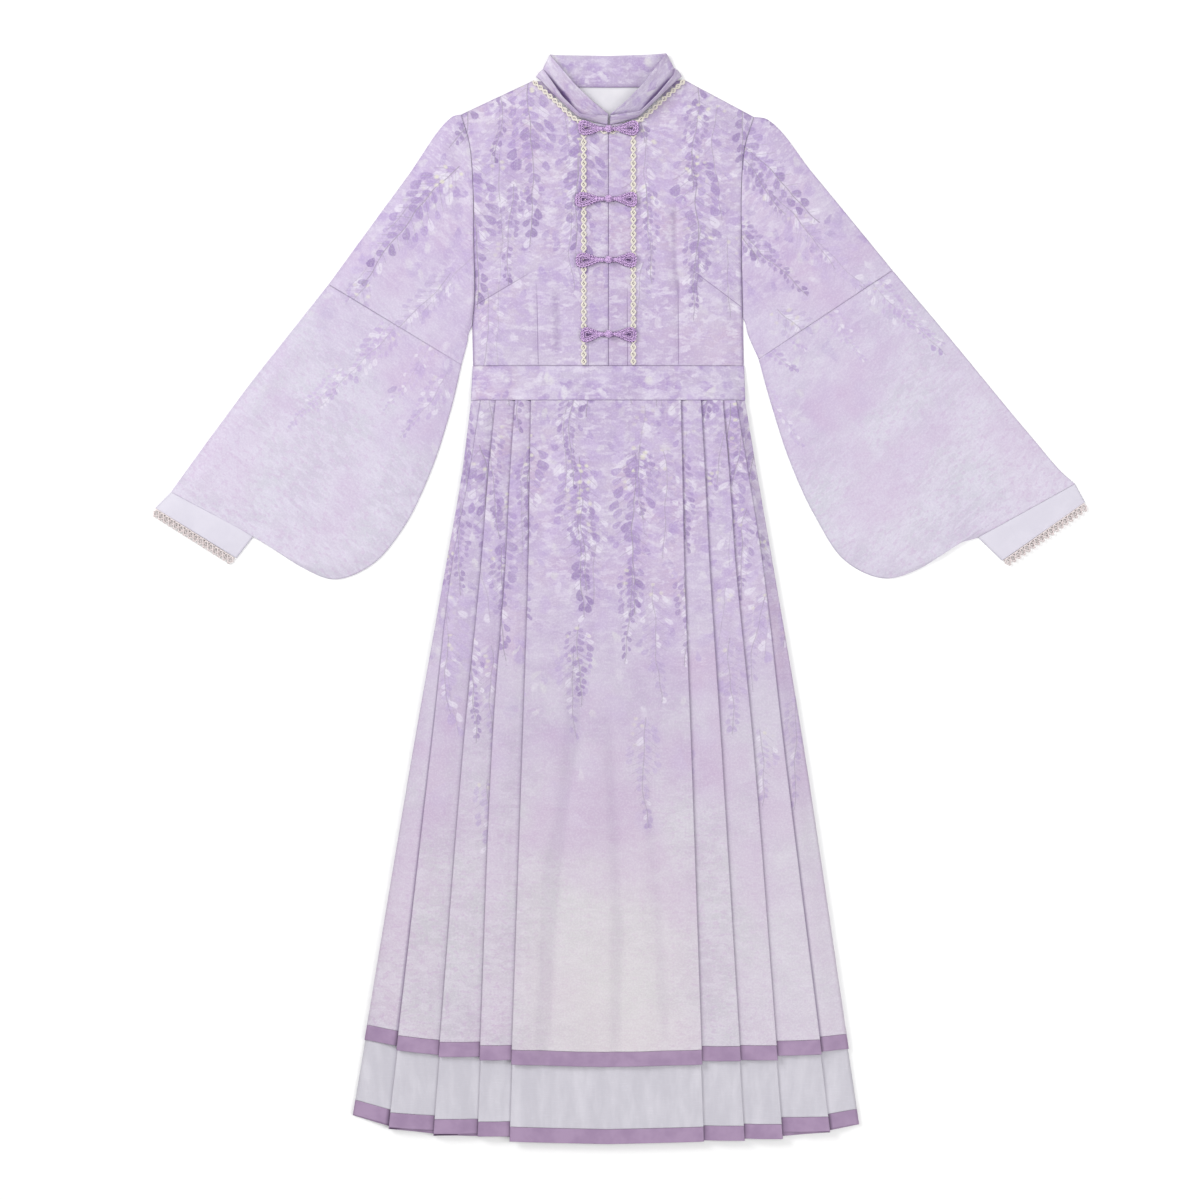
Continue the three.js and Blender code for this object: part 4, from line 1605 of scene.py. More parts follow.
ARMHOLE: dict[Side, tuple[Place, ...]] = {
    Side.LEFT: (
        (-176, 323, 1.8),
        (-166, 287, 4.0),
        (-162, 242, 4.6),
        (-161, 169, 4.6),
        (-160, 106, 4.0),
        (-163, 70, 1.8),
    ),
    Side.RIGHT: (
        (175, 320, 1.8),
        (164, 284, 4.0),
        (160, 240, 4.6),
        (160, 169, 4.6),
        (161, 112, 4.0),
        (162, 79, 1.8),
    ),
}
NECK: dict[Side, tuple[Place, ...]] = {
    Side.LEFT: ((-89, 364, 1.8), (-64, 341, 3.8), (-38, 317.6, 5.0), (-20, 312.6, 5.2), (0.6, 310.6, 5.2)),
    Side.RIGHT: ((91, 365, 1.8), (64, 340, 3.8), (38, 317, 5.0), (20, 312.4, 5.2), (0.6, 310.6, 5.2)),
}
BACK_NECK = ((-50, 358.8), (1, 357), (52, 358.8))
WAIST_ENDS = {Side.LEFT: -162.0, Side.RIGHT: 163.0}
CENTRE = 0.6
PLACKET = 29.7
PRINT_TOP = 372

BODICE_CREASES = (
    Crease((-66, 118), (-62, 30), 9, -1.3, 3),
    Crease((-84, 118), (-85, 24), 3.2, -0.8),
    Crease((-108, 100), (-104, 34), 12, 0.8),
    Crease((-40, 150), (-44, 50), 10, 0.7),
    Crease((-72, 190), (-80, 128), 13, 0.9),
    Crease((80, 222), (83, 108), 6.5, -1.7, -3),
    Crease((84, 122), (84, 24), 3.2, -1.0),
    Crease((66, 200), (68, 60), 11, 1.0),
    Crease((99, 200), (104, 50), 12, 0.8),
    Crease((50, 150), (54, 40), 9, -0.6),
    Crease((-158, 94), (-96, 130), 3.0, -0.7),
    Crease((-150, 108), (-92, 144), 8, 0.8),
    Crease((160, 92), (97, 138), 3.0, -0.7),
    Crease((156, 106), (96, 152), 8, 0.8),
    Crease((-156, 268), (-120, 300), 9, 0.6),
    Crease((154, 268), (118, 302), 9, 0.6),
    Crease((-150, 210), (-118, 176), 8, -0.5),
    Crease((150, 205), (120, 170), 8, -0.5),
    Crease((-158, 60), (-120, 44), 7, 0.6),
    Crease((158, 62), (124, 48), 7, -0.5),
)

# sewn edge and free edge of each collar band, from the left front round the neck
COLLAR_BANDS: dict[str, tuple[tuple[Place, Place], ...]] = {
    "inner": (
        ((0.2, 311.6, 5.2), (0.9, 321.5, 10.2)),
        ((-35.5, 320, 5.0), (-18, 336.6, 13.0)),
        ((-61.5, 344, 4.2), (-38.6, 356.3, 14)),
        ((-80, 364, 3.6), (-66, 389, 9.5)),
        ((-83.4, 367.4, 2.8), (-70.6, 394.6, 5.2)),
        ((-77, 362, 1.8), (-62, 394.2, 1.8)),
        ((-50, 355.6, 2.4), (-46, 393.8, 1.8)),
        ((1, 355.2, 2.4), (1, 393, 1.8)),
        ((52, 355.6, 2.4), (48, 394.6, 1.8)),
        ((79, 362.4, 1.8), (64, 395.6, 1.8)),
        ((85.4, 368, 2.8), (71, 396.2, 5.2)),
        ((82.4, 364.4, 3.6), (66.5, 391, 9.5)),
        ((61.5, 343.4, 4.2), (42.6, 358.4, 14)),
        ((35.5, 319.6, 5.0), (23, 338.6, 13.0)),
        ((1.1, 311.6, 5.2), (2.6, 321.5, 10.2)),
    ),
    "outer": (
        ((0.2, 309.4, 6.6), (0.9, 319.9, 13.2)),
        ((-35.8, 319.0, 6.4), (-33, 321.4, 13.6)),
        ((-61.6, 343.4, 5.6), (-54.6, 342.6, 14.4)),
        ((-82, 364.6, 5.0), (-75.4, 372.4, 11.6)),
        ((-87.2, 368.6, 2.6), (-78.4, 377.6, 4.4)),
        ((-83, 365.8, 0.5), (-74.4, 377, 0.5)),
        ((-50, 358.2, 0.5), (-47, 376, 0.5)),
        ((1, 357.4, 0.5), (1, 375, 0.5)),
        ((52, 358.2, 0.5), (49, 376, 0.5)),
        ((85, 366.4, 0.5), (76.4, 378, 0.5)),
        ((89.2, 369.2, 2.6), (81.2, 378.6, 4.4)),
        ((84.4, 365.4, 5.0), (78.6, 368.6, 12.6)),
        ((60.6, 342.6, 5.6), (58.8, 343.8, 17.2)),
        ((35.6, 318.8, 6.4), (38.6, 324.2, 17)),
        ((1.1, 309.4, 6.6), (2, 319.9, 13.2)),
    ),
}


@dataclass
class Line:
    """A line through places, read by the share of its length.

    Attributes:
        places: Points that it passes through, each with two or three parts.
        smooth: Whether it bends smoothly between them.
        knots: Share of the length at each place.
        length: Its length, in millimetres.
    """

    places: Sequence[Sequence[float]]
    smooth: bool = True
    knots: list[float] = field(init=False)
    length: float = field(init=False)

    def __post_init__(self) -> None:
        """Measures the line."""
        steps = [math.dist(a[:2], b[:2]) for a, b in zip(self.places, self.places[1:])]
        self.length = sum(steps)
        self.knots = [0.0]
        for step in steps:
            self.knots.append(self.knots[-1] + step / self.length)
        self.knots[-1] = 1.0

    def at(self, share: float) -> tuple[float, ...]:
        """Place at a share of the length.

        Args:
            share: Share of its length from its start.

        Returns:
            The numbers of that place.
        """
        if self.smooth:
            parts = range(len(self.places[0]))
            return tuple(curve_at(self.knots, [p[k] for p in self.places], share) for k in parts)
        i = min(max(bisect_right(self.knots, share) - 1, 0), len(self.knots) - 2)
        t = (share - self.knots[i]) / (self.knots[i + 1] - self.knots[i])
        return tuple(lerp(a, b, t) for a, b in zip(self.places[i], self.places[i + 1]))


@dataclass
class Patch:
    """Cloth filled in between four edges, given as functions of the share along them.

    Attributes:
        top: Edge at the top, from left to right.
        low: Edge at the bottom, from left to right.
        left: Edge on the left, from the top down.
        right: Edge on the right, from the top down.
    """

    top: Callable[[float], Sequence[float]]
    low: Callable[[float], Sequence[float]]
    left: Callable[[float], Sequence[float]]
    right: Callable[[float], Sequence[float]]

    def at(self, s: float, t: float) -> Point:
        """Place at a share s across and t down.

        Args:
            s: Share of the way across.
            t: Share of the way down.

        Returns:
            The place, blended from the four edges.
        """
        top, low, left, right = self.top(s), self.low(s), self.left(t), self.right(t)
        a, b, c, d = self.top(0.0), self.top(1.0), self.low(0.0), self.low(1.0)
        return tuple(
            (1 - t) * top[k] + t * low[k] + (1 - s) * left[k] + s * right[k]
            - (1 - s) * (1 - t) * a[k] - s * (1 - t) * b[k] - (1 - s) * t * c[k] - s * t * d[k]
            for k in range(2)
        )


def armhole_and_side(side: Side) -> Callable[[float], Sequence[float]]:
    """Armhole and side seam, from the shoulder tip down, by the share of their length.

    Args:
        side: Side of the dress.

    Returns:
        A function from a share of the length to a place.
    """
    hole = Line(ARMHOLE[side])
    side_seam = Line((ARMHOLE[side][-1], (WAIST_ENDS[side], WAIST_TOP, 1.8)), smooth=False)
    split = hole.length / (hole.length + side_seam.length)

    def edge(share: float) -> Sequence[float]:
        """Place along the edge.

        Args:
            share: Share of the whole length.

        Returns:
            The place there.
        """
        if share <= split:
            return hole.at(share / split)
        return side_seam.at((share - split) / (1 - split))

    return edge


@dataclass
class Bodice:
    """Two fronts, the back, the placket strips, the facing and the collar.

    Attributes:
        wall: Thickness of its cloth.
        collar_wall: Thickness of a collar band, which is two layers and a stiffener.
    """

    wall: float = 0.55
    collar_wall: float = 0.95

    def front(self, side: Side) -> bpy.types.Object:
        """One front, with its darts pressed in.

        Args:
            side: Side of the dress.

        Returns:
            The sheet.
        """
        wide, long = 150, 300
        inner = CENTRE + side.value * (PLACKET + SEAM / 2)
        neck = NECK[side]
        share = (inner - neck[2][0]) / (neck[3][0] - neck[2][0])
        neck_end = tuple(lerp(neck[2][k], neck[3][k], share) for k in range(3))
        shoulder = Line((ARMHOLE[side][0], neck[0]), smooth=False)
        neckline = Line((*neck[:3], neck_end))
        split = shoulder.length / (shoulder.length + neckline.length)

        def top(s: float) -> Sequence[float]:
            """Shoulder and neck seams."""
            x, y, z = shoulder.at(s / split) if s <= split else neckline.at((s - split) / (1 - split))
            return x, y - SEAM, z

        outer = armhole_and_side(side)
        patch = Patch(
            top=top,
            low=lambda s: (lerp(WAIST_ENDS[side], inner, s), WAIST_TOP + SEAM / 2),
            left=outer,
            right=lambda t: (inner, lerp(neck_end[1] - SEAM, WAIST_TOP + SEAM / 2, t)),
        )

        def spot(s: float, t: float) -> Spot:
            """One point of the front.

            Args:
                s: Share of the way from the armhole to the placket.
                t: Share of the way down.

            Returns:
                The point.
            """
            x, y = patch.at(s, t)
            x -= side.value * 0.15 * (1 - s)
            from_arm, from_top, from_waist, from_inner = s * wide, t * long, (1 - t) * long, (1 - s) * wide
            z = lerp(outer(t)[2], BODY_WALL, ease(from_arm / 26))
            z = lerp(min(top(s)[2], z), z, ease(from_top / 34))
            calm = ease(from_arm / 14) * ease(from_waist / 12) * ease(from_top / 14) * ease(from_inner / 8)
            relief = creased(BODICE_CREASES, x, y)
            z += calm * (relief + 0.3 * ripple(x, y, 34, 3.0))
            under_arm = ease((240 - y) / 120) if y < 240 else 0.15
            z += seam_roll(from_arm, 0.5 + 0.9 * under_arm, 2.5) + seam_roll(from_waist, 0.4, 1.6)
            # painted shade beside the armhole (wider under the arm), the waist and the top seams, and in the
            # deeper crease troughs
            shade = max(
                seam_shade(from_arm, 0.2 + 0.75 * under_arm, 0.7 + 1.5 * under_arm),
                seam_shade(from_waist, 0.3, 0.7),
                seam_shade(from_top, 0.4, 0.8),
                calm * min(max(-relief - 0.8, 0.0) * 0.5, 0.6),
            )
            return Spot(x, y, z, x, PRINT_TOP - y, shade)

        name = f"front_{side.label}"
        return cloth_of(name, shares(57, wide), shares(115, long), spot, self.wall, side is Side.RIGHT)

    def back(self) -> bpy.types.Object:
        """The back, flat on the floor.

        Returns:
            The sheet.
        """
        wide, long = 325, 300
        tips, necks = ([line[side][0][:2] for side in Side] for line in (ARMHOLE, NECK))
        parts = (
            Line((tips[0], necks[0]), smooth=False),
            Line((necks[0], *BACK_NECK, necks[1])),
            Line((necks[1], tips[1]), smooth=False),
        )

        def top(s: float) -> Sequence[float]:
            """Shoulders and back neck.

            Args:
                s: Share of the way across.

            Returns:
                The place on the upper edge.
            """
            if s < 0.27:
                return parts[0].at(s / 0.27)
            if s < 0.73:
                return parts[1].at((s - 0.27) / 0.46)
            return parts[2].at((s - 0.73) / 0.27)

        patch = Patch(
            top=top,
            low=lambda s: (lerp(*WAIST_ENDS.values(), s), WAIST_TOP + SEAM / 2),
            left=armhole_and_side(Side.LEFT),
            right=armhole_and_side(Side.RIGHT),
        )

        def spot(s: float, t: float) -> Spot:
            """One point of the back.

            Args:
                s: Share of the way across.
                t: Share of the way down.

            Returns:
                The point.
            """
            x, y = patch.at(s, t)
            edge = min(t * long, (1 - t) * long, s * wide, (1 - s) * wide)
            # painted shade along its edges
            return Spot(x * 0.9995, y, FLOOR_WALL, -x, PRINT_TOP - y, seam_shade(edge, 0.5))

        return cloth_of("back", shares(72, wide), shares(70, long), spot, self.wall)

    def strip(self, side: Side) -> bpy.types.Object:
        """One printed placket strip, turned under along the opening.

        Args:
            side: Side of the opening.

        Returns:
            The sheet.
        """
        wide, long = 29, 290
        sign = side.value
        neck = NECK[side]
        seam_top = (CENTRE + sign * (PLACKET - SEAM / 2), 315.2)
        edge_top = (CENTRE + sign * SEAM / 2, neck[4][1])
        top_line = Line((seam_top, neck[3][:2], edge_top), smooth=False)

        def spot(s: float, t: float) -> Spot:
            """One point of the strip.

            Args:
                s: Share of the way from its seam to its free edge.
                t: Share of the way down.

            Returns:
                The point.
            """
            x, top = top_line.at(s)
            y = lerp(top - SEAM, WAIST_TOP + SEAM / 2, t)
            from_seam, from_edge, from_waist = s * wide, (1 - s) * wide, (1 - t) * long
            z = BODY_WALL + 0.25 + seam_roll(from_edge, 0.75, 1.3) + seam_roll(from_seam, 0.3, 2)
            z += seam_roll(from_waist, 0.4, 1.6)
            z += 0.22 * ripple(x * 1.6, y * 0.6, 16, 5.0 + sign) * ease(from_edge / 6) * ease(from_waist / 8)
            # painted shade: a little over the whole strip, more at its turned edge and its seams
            shade = max(
                0.07,
                seam_shade(from_edge, 0.6, 0.6),
                seam_shade(from_seam, 0.25, 2.0),
                seam_shade(from_waist, 0.3, 0.7),
            )
            return Spot(x, y, z, x + sign * 61, 345 - y + sign * 17, shade)

        name = f"strip_{side.label}"
        return cloth_of(name, shares(12, wide), shares(96, long), spot, self.wall, side is Side.RIGHT)

    def facing(self) -> bpy.types.Object:
        """Plain facing inside the back neck.

        Returns:
            The sheet.
        """
        wide, long = 130, 50
        top = Line(((-64, 356), (-32, 356.5), (1, 356.2), (34, 356.5), (66, 356)))
        low = Line(((-64, 318), (-32, 302), (1, 296), (34, 302), (66, 318)))

        def spot(s: float, t: float) -> Spot:
            """One point of the facing.

            Args:
                s: Share of the way across.
                t: Share of the way down.

            Returns:
                The point.
            """
            (x, high), (x_low, deep) = top.at(s), low.at(s)
            y = lerp(high, deep, t)
            edge = min(t * long, (1 - t) * long, s * wide, (1 - s) * wide)
            z = SIDE_WALL + 0.15 + 0.5 * ease(edge / 14) * (0.5 + ripple(x, y, 26, 9.0))
            # painted shade along its edges
            return Spot(lerp(x, x_low, t), y, z, x, -y, seam_shade(edge, 0.6, 1.4))

        return cloth_of("facing", shares(50, wide), shares(26, 55), spot, self.wall)

    def band(self, which: str, bulge: float) -> bpy.types.Object:
        """One collar band.

        Args:
            which: inner or outer.
            bulge: How far its middle stands off, in millimetres.

        Returns:
            The sheet.
        """
        high = 30
        stations = COLLAR_BANDS[which]
        knots = [0.0]
        for (a, b), (c, d) in zip(stations, stations[1:]):
            knots.append(knots[-1] + (math.dist(a, c) + math.dist(b, d)) / 2)
        total = knots[-1]

        def read(end: int, place: float) -> Vector:
            """Sewn (0) or free (1) edge at one place round the neck, its corners rounded a little.

            Args:
                end: 0 for the sewn edge, 1 for the free one.
                place: Millimetres round the neck.

            Returns:
                The place of that edge.
            """
            found = Vector((0, 0, 0))
            for step in (-2.5, 0.0, 2.5):
                at = min(max(place + step, 0.0), total)
                i = min(max(bisect_right(knots, at) - 1, 0), len(knots) - 2)
                share = (at - knots[i]) / (knots[i + 1] - knots[i])
                found += Vector(stations[i][end]).lerp(Vector(stations[i + 1][end]), share)
            return found / 3

        def spot(s: float, t: float) -> Spot:
            """One point of the band, s round the neck and t up from the seam.

            Args:
                s: Share of the way round the neck.
                t: Share of the way up from the seam.

            Returns:
                The point.
            """
            place = total * s
            seam, edge = read(0, place), read(1, place)
            step = read(0, min(place + 1, total)) - read(0, max(place - 1, 0))
            normal = step.cross(edge - seam).normalized()
            if normal.z < 0:
                normal = -normal
            end = min(place, total - place)
            wave = 0.35 * ripple(place * 0.6, t * high, 20, 2.0)
            off = bulge * math.sin(math.pi * t) * ease(end / 12) + wave * t * ease(end / 16)
            at = seam.lerp(edge, t) + normal * off
            at.z = max(at.z, self.collar_wall / 2 + 0.01)
            # painted shade at the neck seam and at the band's ends
            shade = max(seam_shade(t * high, 0.6, 1.6), seam_shade(end, 0.5, 1.0))
            # painted shadow of the outer band on the lower part of the inner band, at the front only
            if which == "inner":
                covered = 0.44 if place < total / 2 else 0.36
                covered = lerp(0.2, covered, ease((end - 32) / 30)) + seam_shade(end - 12, 0.34, 6)
                in_front = ease((0.28 - end / total) / 0.06) * ease(end / 5)
                shade = max(shade, 1.4 * ease((covered - t) / 0.12) * in_front)
            return Spot(*at, place - total / 2, 36 * (1 - t) + 10, shade)

        up = shares(14, high, (0.6, 1.5))[::-1]
        return cloth_of(f"collar_{which}_band", shares(150, total), up, spot, self.collar_wall)


@dataclass
class Waistband:
    """The band between the bodice and the skirt, cut across the cloth.

    Attributes:
        wall: Thickness of its cloth.
    """

    wall: float = 0.6

    def build(self, front: bool) -> bpy.types.Object:
        """Makes its front or its back.

        Args:
            front: Whether it is the front.

        Returns:
            The sheet.
        """
        wide, high = 328, 42

        def spot(s: float, t: float) -> Spot:
            """One point of the band.

            Args:
                s: Share of the way across.
                t: Share of the way down.

            Returns:
                The point.
            """
            x = lerp(lerp(-162.2, -164.2, t), lerp(163.2, 164.2, t), s)
            y = lerp(WAIST_TOP - SEAM / 2, WAIST_BOTTOM + SEAM / 2, t)
            edge, end = min(t, 1 - t) * high, min(s, 1 - s)
            z = FLOOR_WALL
            if front:
                rise = 1 - (1 - min(end / 0.14, 1.0)) ** 2
                top = lerp(SIDE_WALL, BODY_WALL, rise)
                bottom = lerp(3 * EDGE_STEP + FLOOR_WALL, 3 * PANEL_STEP + FLOOR_WALL + 2 * FOLD_STEP, rise)
                z = lerp(top, bottom, ease(t * 0.9 + 0.05)) + seam_roll(edge, 0.45, 1.4)
                z += ease(edge / 7) * ease(end * wide / 12) * 0.55 * ripple(x * 0.5, y * 2.2, 17, 6.0)
            # painted shade at its seams and ends
            shade = max(seam_shade(edge, 0.32, 0.7), seam_shade(end * wide, 0.4, 1.0))
            return Spot(x, y, z, x if front else -x, WAIST_TOP - y, shade)

        name = "waistband_front_cloth" if front else "waistband_back_cloth"
        return cloth_of(name, shares(110, wide), shares(12, high, (0.6, 1.5, 3.0)), spot, self.wall)




# ------------------------------------------------------------------ sleeves

Station = tuple[Point, Point, float]


@dataclass
class SleeveTables:
    """Folded edges of one flattened sleeve, as stations of outer edge, inner edge and height.

    Attributes:
        upper: Stations from the armhole to the elbow seam.
        lower: Stations from there down the hanging bell to the cuff.
        cuff: Stations of the cuff.
        lace: Stations of the lace at its end.
        creases: Ridges and troughs of its front.
        grain: Direction of the cloth's grain.
        bell_cut: Flat size of the lower sleeve's cloth and the share of it that the cut fills.
        cuff_cut: The same for the cuff.
    """

    upper: tuple[Station, ...]
    lower: tuple[Station, ...]
    cuff: tuple[Station, ...]
    lace: tuple[Station, ...]
    creases: tuple[Crease, ...]
    grain: Point
    bell_cut: tuple[Point, float]
    cuff_cut: tuple[Point, float]


SLEEVES: dict[Side, SleeveTables] = {
    Side.LEFT: SleeveTables(
        upper=(
            ((-187, 320), (-166, 64), 4.4),
            ((-240, 249), (-169, 50), 4.4),
            ((-335, 119), (-176, 23), 4.2),
        ),
        lower=(
            ((-335, 119), (-176, 23), 4.2),
            ((-388, 52), (-189, -32), 4.4),
            ((-429, 0), (-214, -108), 4.4),
            ((-460, -42), (-246, -173), 4.4),
            ((-483, -73), (-284, -217), 4.4),
            ((-501, -98), (-329, -234), 4.2),
            ((-514, -116), (-370, -218), 4.0),
            ((-520, -124), (-394, -202), 3.6),
            ((-524, -130), (-425, -182), 3.4),
        ),
        cuff=(((-524, -130), (-425, -182), 3.4), ((-543, -149), (-446, -209), 3.4)),
        lace=(((-543, -149), (-446, -209), 3.4), ((-548.5, -156), (-451.5, -218), 3.2)),
        creases=(
            Crease((-182, 300), (-176, 200), 7, -0.8, 3),
            Crease((-196, 300), (-200, 210), 11, 1.0),
            Crease((-178, 180), (-196, 120), 8, -0.7),
            Crease((-172, 120), (-214, 60), 9, 0.8),
            Crease((-240, 210), (-290, 120), 16, 0.7),
            Crease((-215, -20), (-260, -120), 20, 0.7),
            Crease((-300, 40), (-380, -90), 24, 0.9),
            Crease((-350, 30), (-430, -80), 18, -0.5),
            Crease((-470, -110), (-440, -150), 6, -0.6),
            Crease((-440, -150), (-400, -180), 5, -0.7),
            Crease((-500, -122), (-470, -100), 7, 0.6),
            Crease((-330, -120), (-360, -200), 16, 0.7),
        ),
        grain=(-0.645, -0.764),
        bell_cut=((560, 400), 0.63),
        cuff_cut=((220, 32), 0.97),
    ),
    Side.RIGHT: SleeveTables(
        upper=(
            ((191, 317), (164.5, 74), 4.4),
            ((245, 253), (168, 60), 4.4),
            ((341, 136), (181, 30), 4.2),
        ),
        lower=(
            ((341, 136), (181, 30), 4.2),
            ((402, 64), (196, -24), 4.4),
            ((449, 7), (219, -94), 4.4),
            ((486, -38), (249, -159), 4.4),
            ((513, -70), (286, -213), 4.4),
            ((532, -93), (334, -233), 4.2),
            ((545, -107), (378, -219), 4.0),
            ((553, -114), (416, -193), 3.6),
            ((560, -120), (444, -184), 3.4),
        ),
        cuff=(((560, -120), (444, -184), 3.4), ((572, -142), (473, -212), 3.4)),
        lace=(((572, -142), (473, -212), 3.4), ((577.5, -149), (478.5, -220), 3.2)),
        creases=(
            Crease((180, 298), (174, 205), 7, -0.8, -3),
            Crease((196, 296), (204, 205), 11, 1.0),
            Crease((176, 180), (194, 126), 8, -0.7),
            Crease((172, 124), (212, 66), 9, 0.8),
            Crease((245, 212), (296, 130), 16, 0.7),
            Crease((214, -10), (262, -116), 20, 0.7),
            Crease((310, 46), (398, -84), 24, 0.9),
            Crease((360, 40), (446, -66), 18, -0.5),
            Crease((500, -104), (470, -140), 6, -0.6),
            Crease((462, -146), (424, -176), 5, -0.7),
            Crease((530, -112), (500, -92), 7, 0.6),
            Crease((340, -116), (376, -196), 16, 0.7),
        ),
        grain=(0.665, -0.747),
        bell_cut=((590, 410), 0.65),
        cuff_cut=((252, 33), 0.99),
    ),
}


@dataclass
class Sleeve:
    """One flattened sleeve with its cuff.

    Attributes:
        side: Which sleeve.
        wall: Thickness of its cloth.
    """

    side: Side
    wall: float = 0.55

    @property
    def tables(self) -> SleeveTables:
        """Its stations and creases."""
        return SLEEVES[self.side]

    def on_cloth(self, x: float, y: float) -> Point:
        """Place on the flat cloth, whose grain runs down the arm.

        Args:
            x: Across the dress.
            y: Along the dress.

        Returns:
            Millimetres across and down the cut.
        """
        tip = ARMHOLE[self.side][0]
        gx, gy = self.tables.grain
        dx, dy = x - tip[0], y - tip[1]
        return dx * gy - dy * gx, dx * gx + dy * gy

    def tube(
        self,
        name: str,
        stations: Sequence[Station],
        length: float,
        steps: int,
        across: int,
        armhole: bool = False,
        seam: Point = (0.5, 0.5),
        ripples: float = 0.3,
    ) -> bpy.types.Object:
        """One piece of the sleeve, front and back in one ring.

        Args:
            name: Name of the piece.
            stations: Folded edges from the upper end to the lower end.
            length: About how long it is, in millimetres.
            steps: Steps down its length.
            across: Steps across its front.
            armhole: Whether it begins at the armhole.
            seam: Strength of the painted shade at the seams of its two ends.
            ripples: Height of its small unevenness.

        Returns:
            The sheet.
        """
        if armhole:
            shoulder, under = ARMHOLE[self.side][0], ARMHOLE[self.side][-1]
            stations = ((shoulder[:2], under[:2], 4.4), *stations)
        knots = [0.0]
        for (a, b, _), (c, d, _) in zip(stations, stations[1:]):
            knots.append(knots[-1] + max((math.dist(a, c) + math.dist(b, d)) / 2, 1.0))
        knots = [knot / knots[-1] for knot in knots]

        def edge(end: int, t: float) -> Point:
            """Outer (0) or inner (1) folded edge."""
            return tuple(curve_at(knots, [s[end][k] for s in stations], t) for k in range(2))

        hole = Line(ARMHOLE[self.side])
        sign = self.side.value
        top_calm, top_dip, top_roll = (6, 1.0, 3.0) if armhole else (12, 0.3, 1.8)
        rows = []
        for t in shares(steps, length):
            outer, inner = edge(0, t), edge(1, t)
            rise = curve_at(knots, [s[2] for s in stations], t)
            width = math.dist(outer, inner)
            inset = 0.65 / width
            from_top, from_low = t * length, (1 - t) * length
            front: list[Spot] = []
            for s in shares(across, width):
                s_in = lerp(inset, 1 - inset, s)
                x, y = (lerp(outer[k], inner[k], s_in) for k in range(2))
                hole_z = rise
                if armhole:
                    curve = hole.at(s_in)
                    straight = [lerp(a, b, s_in) for a, b in zip(*stations[0][:2])]
                    keep = (1 - t) ** 1.5
                    x += (curve[0] - straight[0] + sign * SEAM) * keep
                    y += (curve[1] - straight[1]) * keep
                    hole_z = lerp(curve[2], rise, ease(from_top / 16))
                from_fold = min(s, 1 - s) * width
                z = lerp(SIDE_WALL, hole_z, ease(from_fold / 22) ** 0.7)
                calm = ease(from_fold / 16) * ease(from_low / 12) * ease(from_top / top_calm)
                z += calm * (creased(self.tables.creases, x, y) + ripples * ripple(x, y, 40, 4.0 + sign))
                z += seam_roll(from_low, 0.4, 1.8) + seam_roll(from_top, top_dip, top_roll)
                under_arm = ease((240 - y) / 120) if armhole else 0.0
                # painted shade at the seams of its ends, wider under the arm, and a little along its folds
                shade = max(
                    seam_shade(from_top, seam[0], 0.7 + 1.3 * under_arm),
                    seam_shade(from_low, seam[1], 0.7),
                    seam_shade(from_fold, 0.15, 1.0),
                )
                u, v = self.on_cloth(x, y)
                front.append(Spot(x, y, max(z, SIDE_WALL - 0.2), u, v, shade))
            fold_u = self.on_cloth(*outer)[0]
            middle = (SIDE_WALL + FLOOR_WALL) / 2
            # the folded edges carry a little painted shade
            ends = [Spot(*end, middle, *self.on_cloth(*end), 0.15) for end in (outer, inner)]
            ring = [ends[0], *front, ends[1]]
            for spot in reversed(front[:: 2 if across > 20 else 1]):
                ring.append(Spot(spot.x, spot.y, FLOOR_WALL, 2 * fold_u - spot.u, spot.v, 0.0))
            if t in (0.0, 1.0) and not (armhole and t == 0.0):
                later, sooner = edge(0, min(t + 0.02, 1)), edge(0, max(t - 0.02, 0))
                step = Vector((later[0] - sooner[0], later[1] - sooner[1])).normalized() * (SEAM / 2)
                for spot in ring:
                    spot.x += step.x if t == 0.0 else -step.x
                    spot.y += step.y if t == 0.0 else -step.y
            rows.append(ring if self.side is Side.LEFT else ring[::-1])
        return cloth_grid(name, rows, self.wall, ring=True)
# ------------------------------------------------------------------ lace


@dataclass
class Threads:
    """Threads of one piece, collected as points and faces.

    Attributes:
        points: Points of all of them, in millimetres.
        faces: Point numbers of each face.
    """

    points: list[Place] = field(default_factory=list)
    faces: list[tuple[int, ...]] = field(default_factory=list)

    def add(self, path: Sequence[Place], radius: float, sides: int = 6) -> None:
        """Adds a thread along a path, closed at both ends.

        Args:
            path: Places that it passes through.
            radius: Its radius.
            sides: Number of faces round it.
        """
        start, last = len(self.points), len(path) - 1
        for i, place in enumerate(path):
            along = (Vector(path[min(i + 1, last)]) - Vector(path[max(i - 1, 0)])).normalized()
            over = Vector((0, 0, 1)) if abs(along.z) < 0.9 else Vector((1, 0, 0))
            side = along.cross(over).normalized()
            up = side.cross(along)
            for k in range(sides):
                turn = 2 * math.pi * k / sides
                out = side * (radius * math.cos(turn))
                self.points.append(tuple(Vector(place) + out + up * (radius * math.sin(turn))))
        for ring in range(start, start + last * sides, sides):
            for k in range(sides):
                a, b = ring + k, ring + (k + 1) % sides
                self.faces.append((a, b, b + sides, a + sides))
        self.faces.append(tuple(range(start, start + sides))[::-1])
        self.faces.append(tuple(range(start + last * sides, start + (last + 1) * sides)))


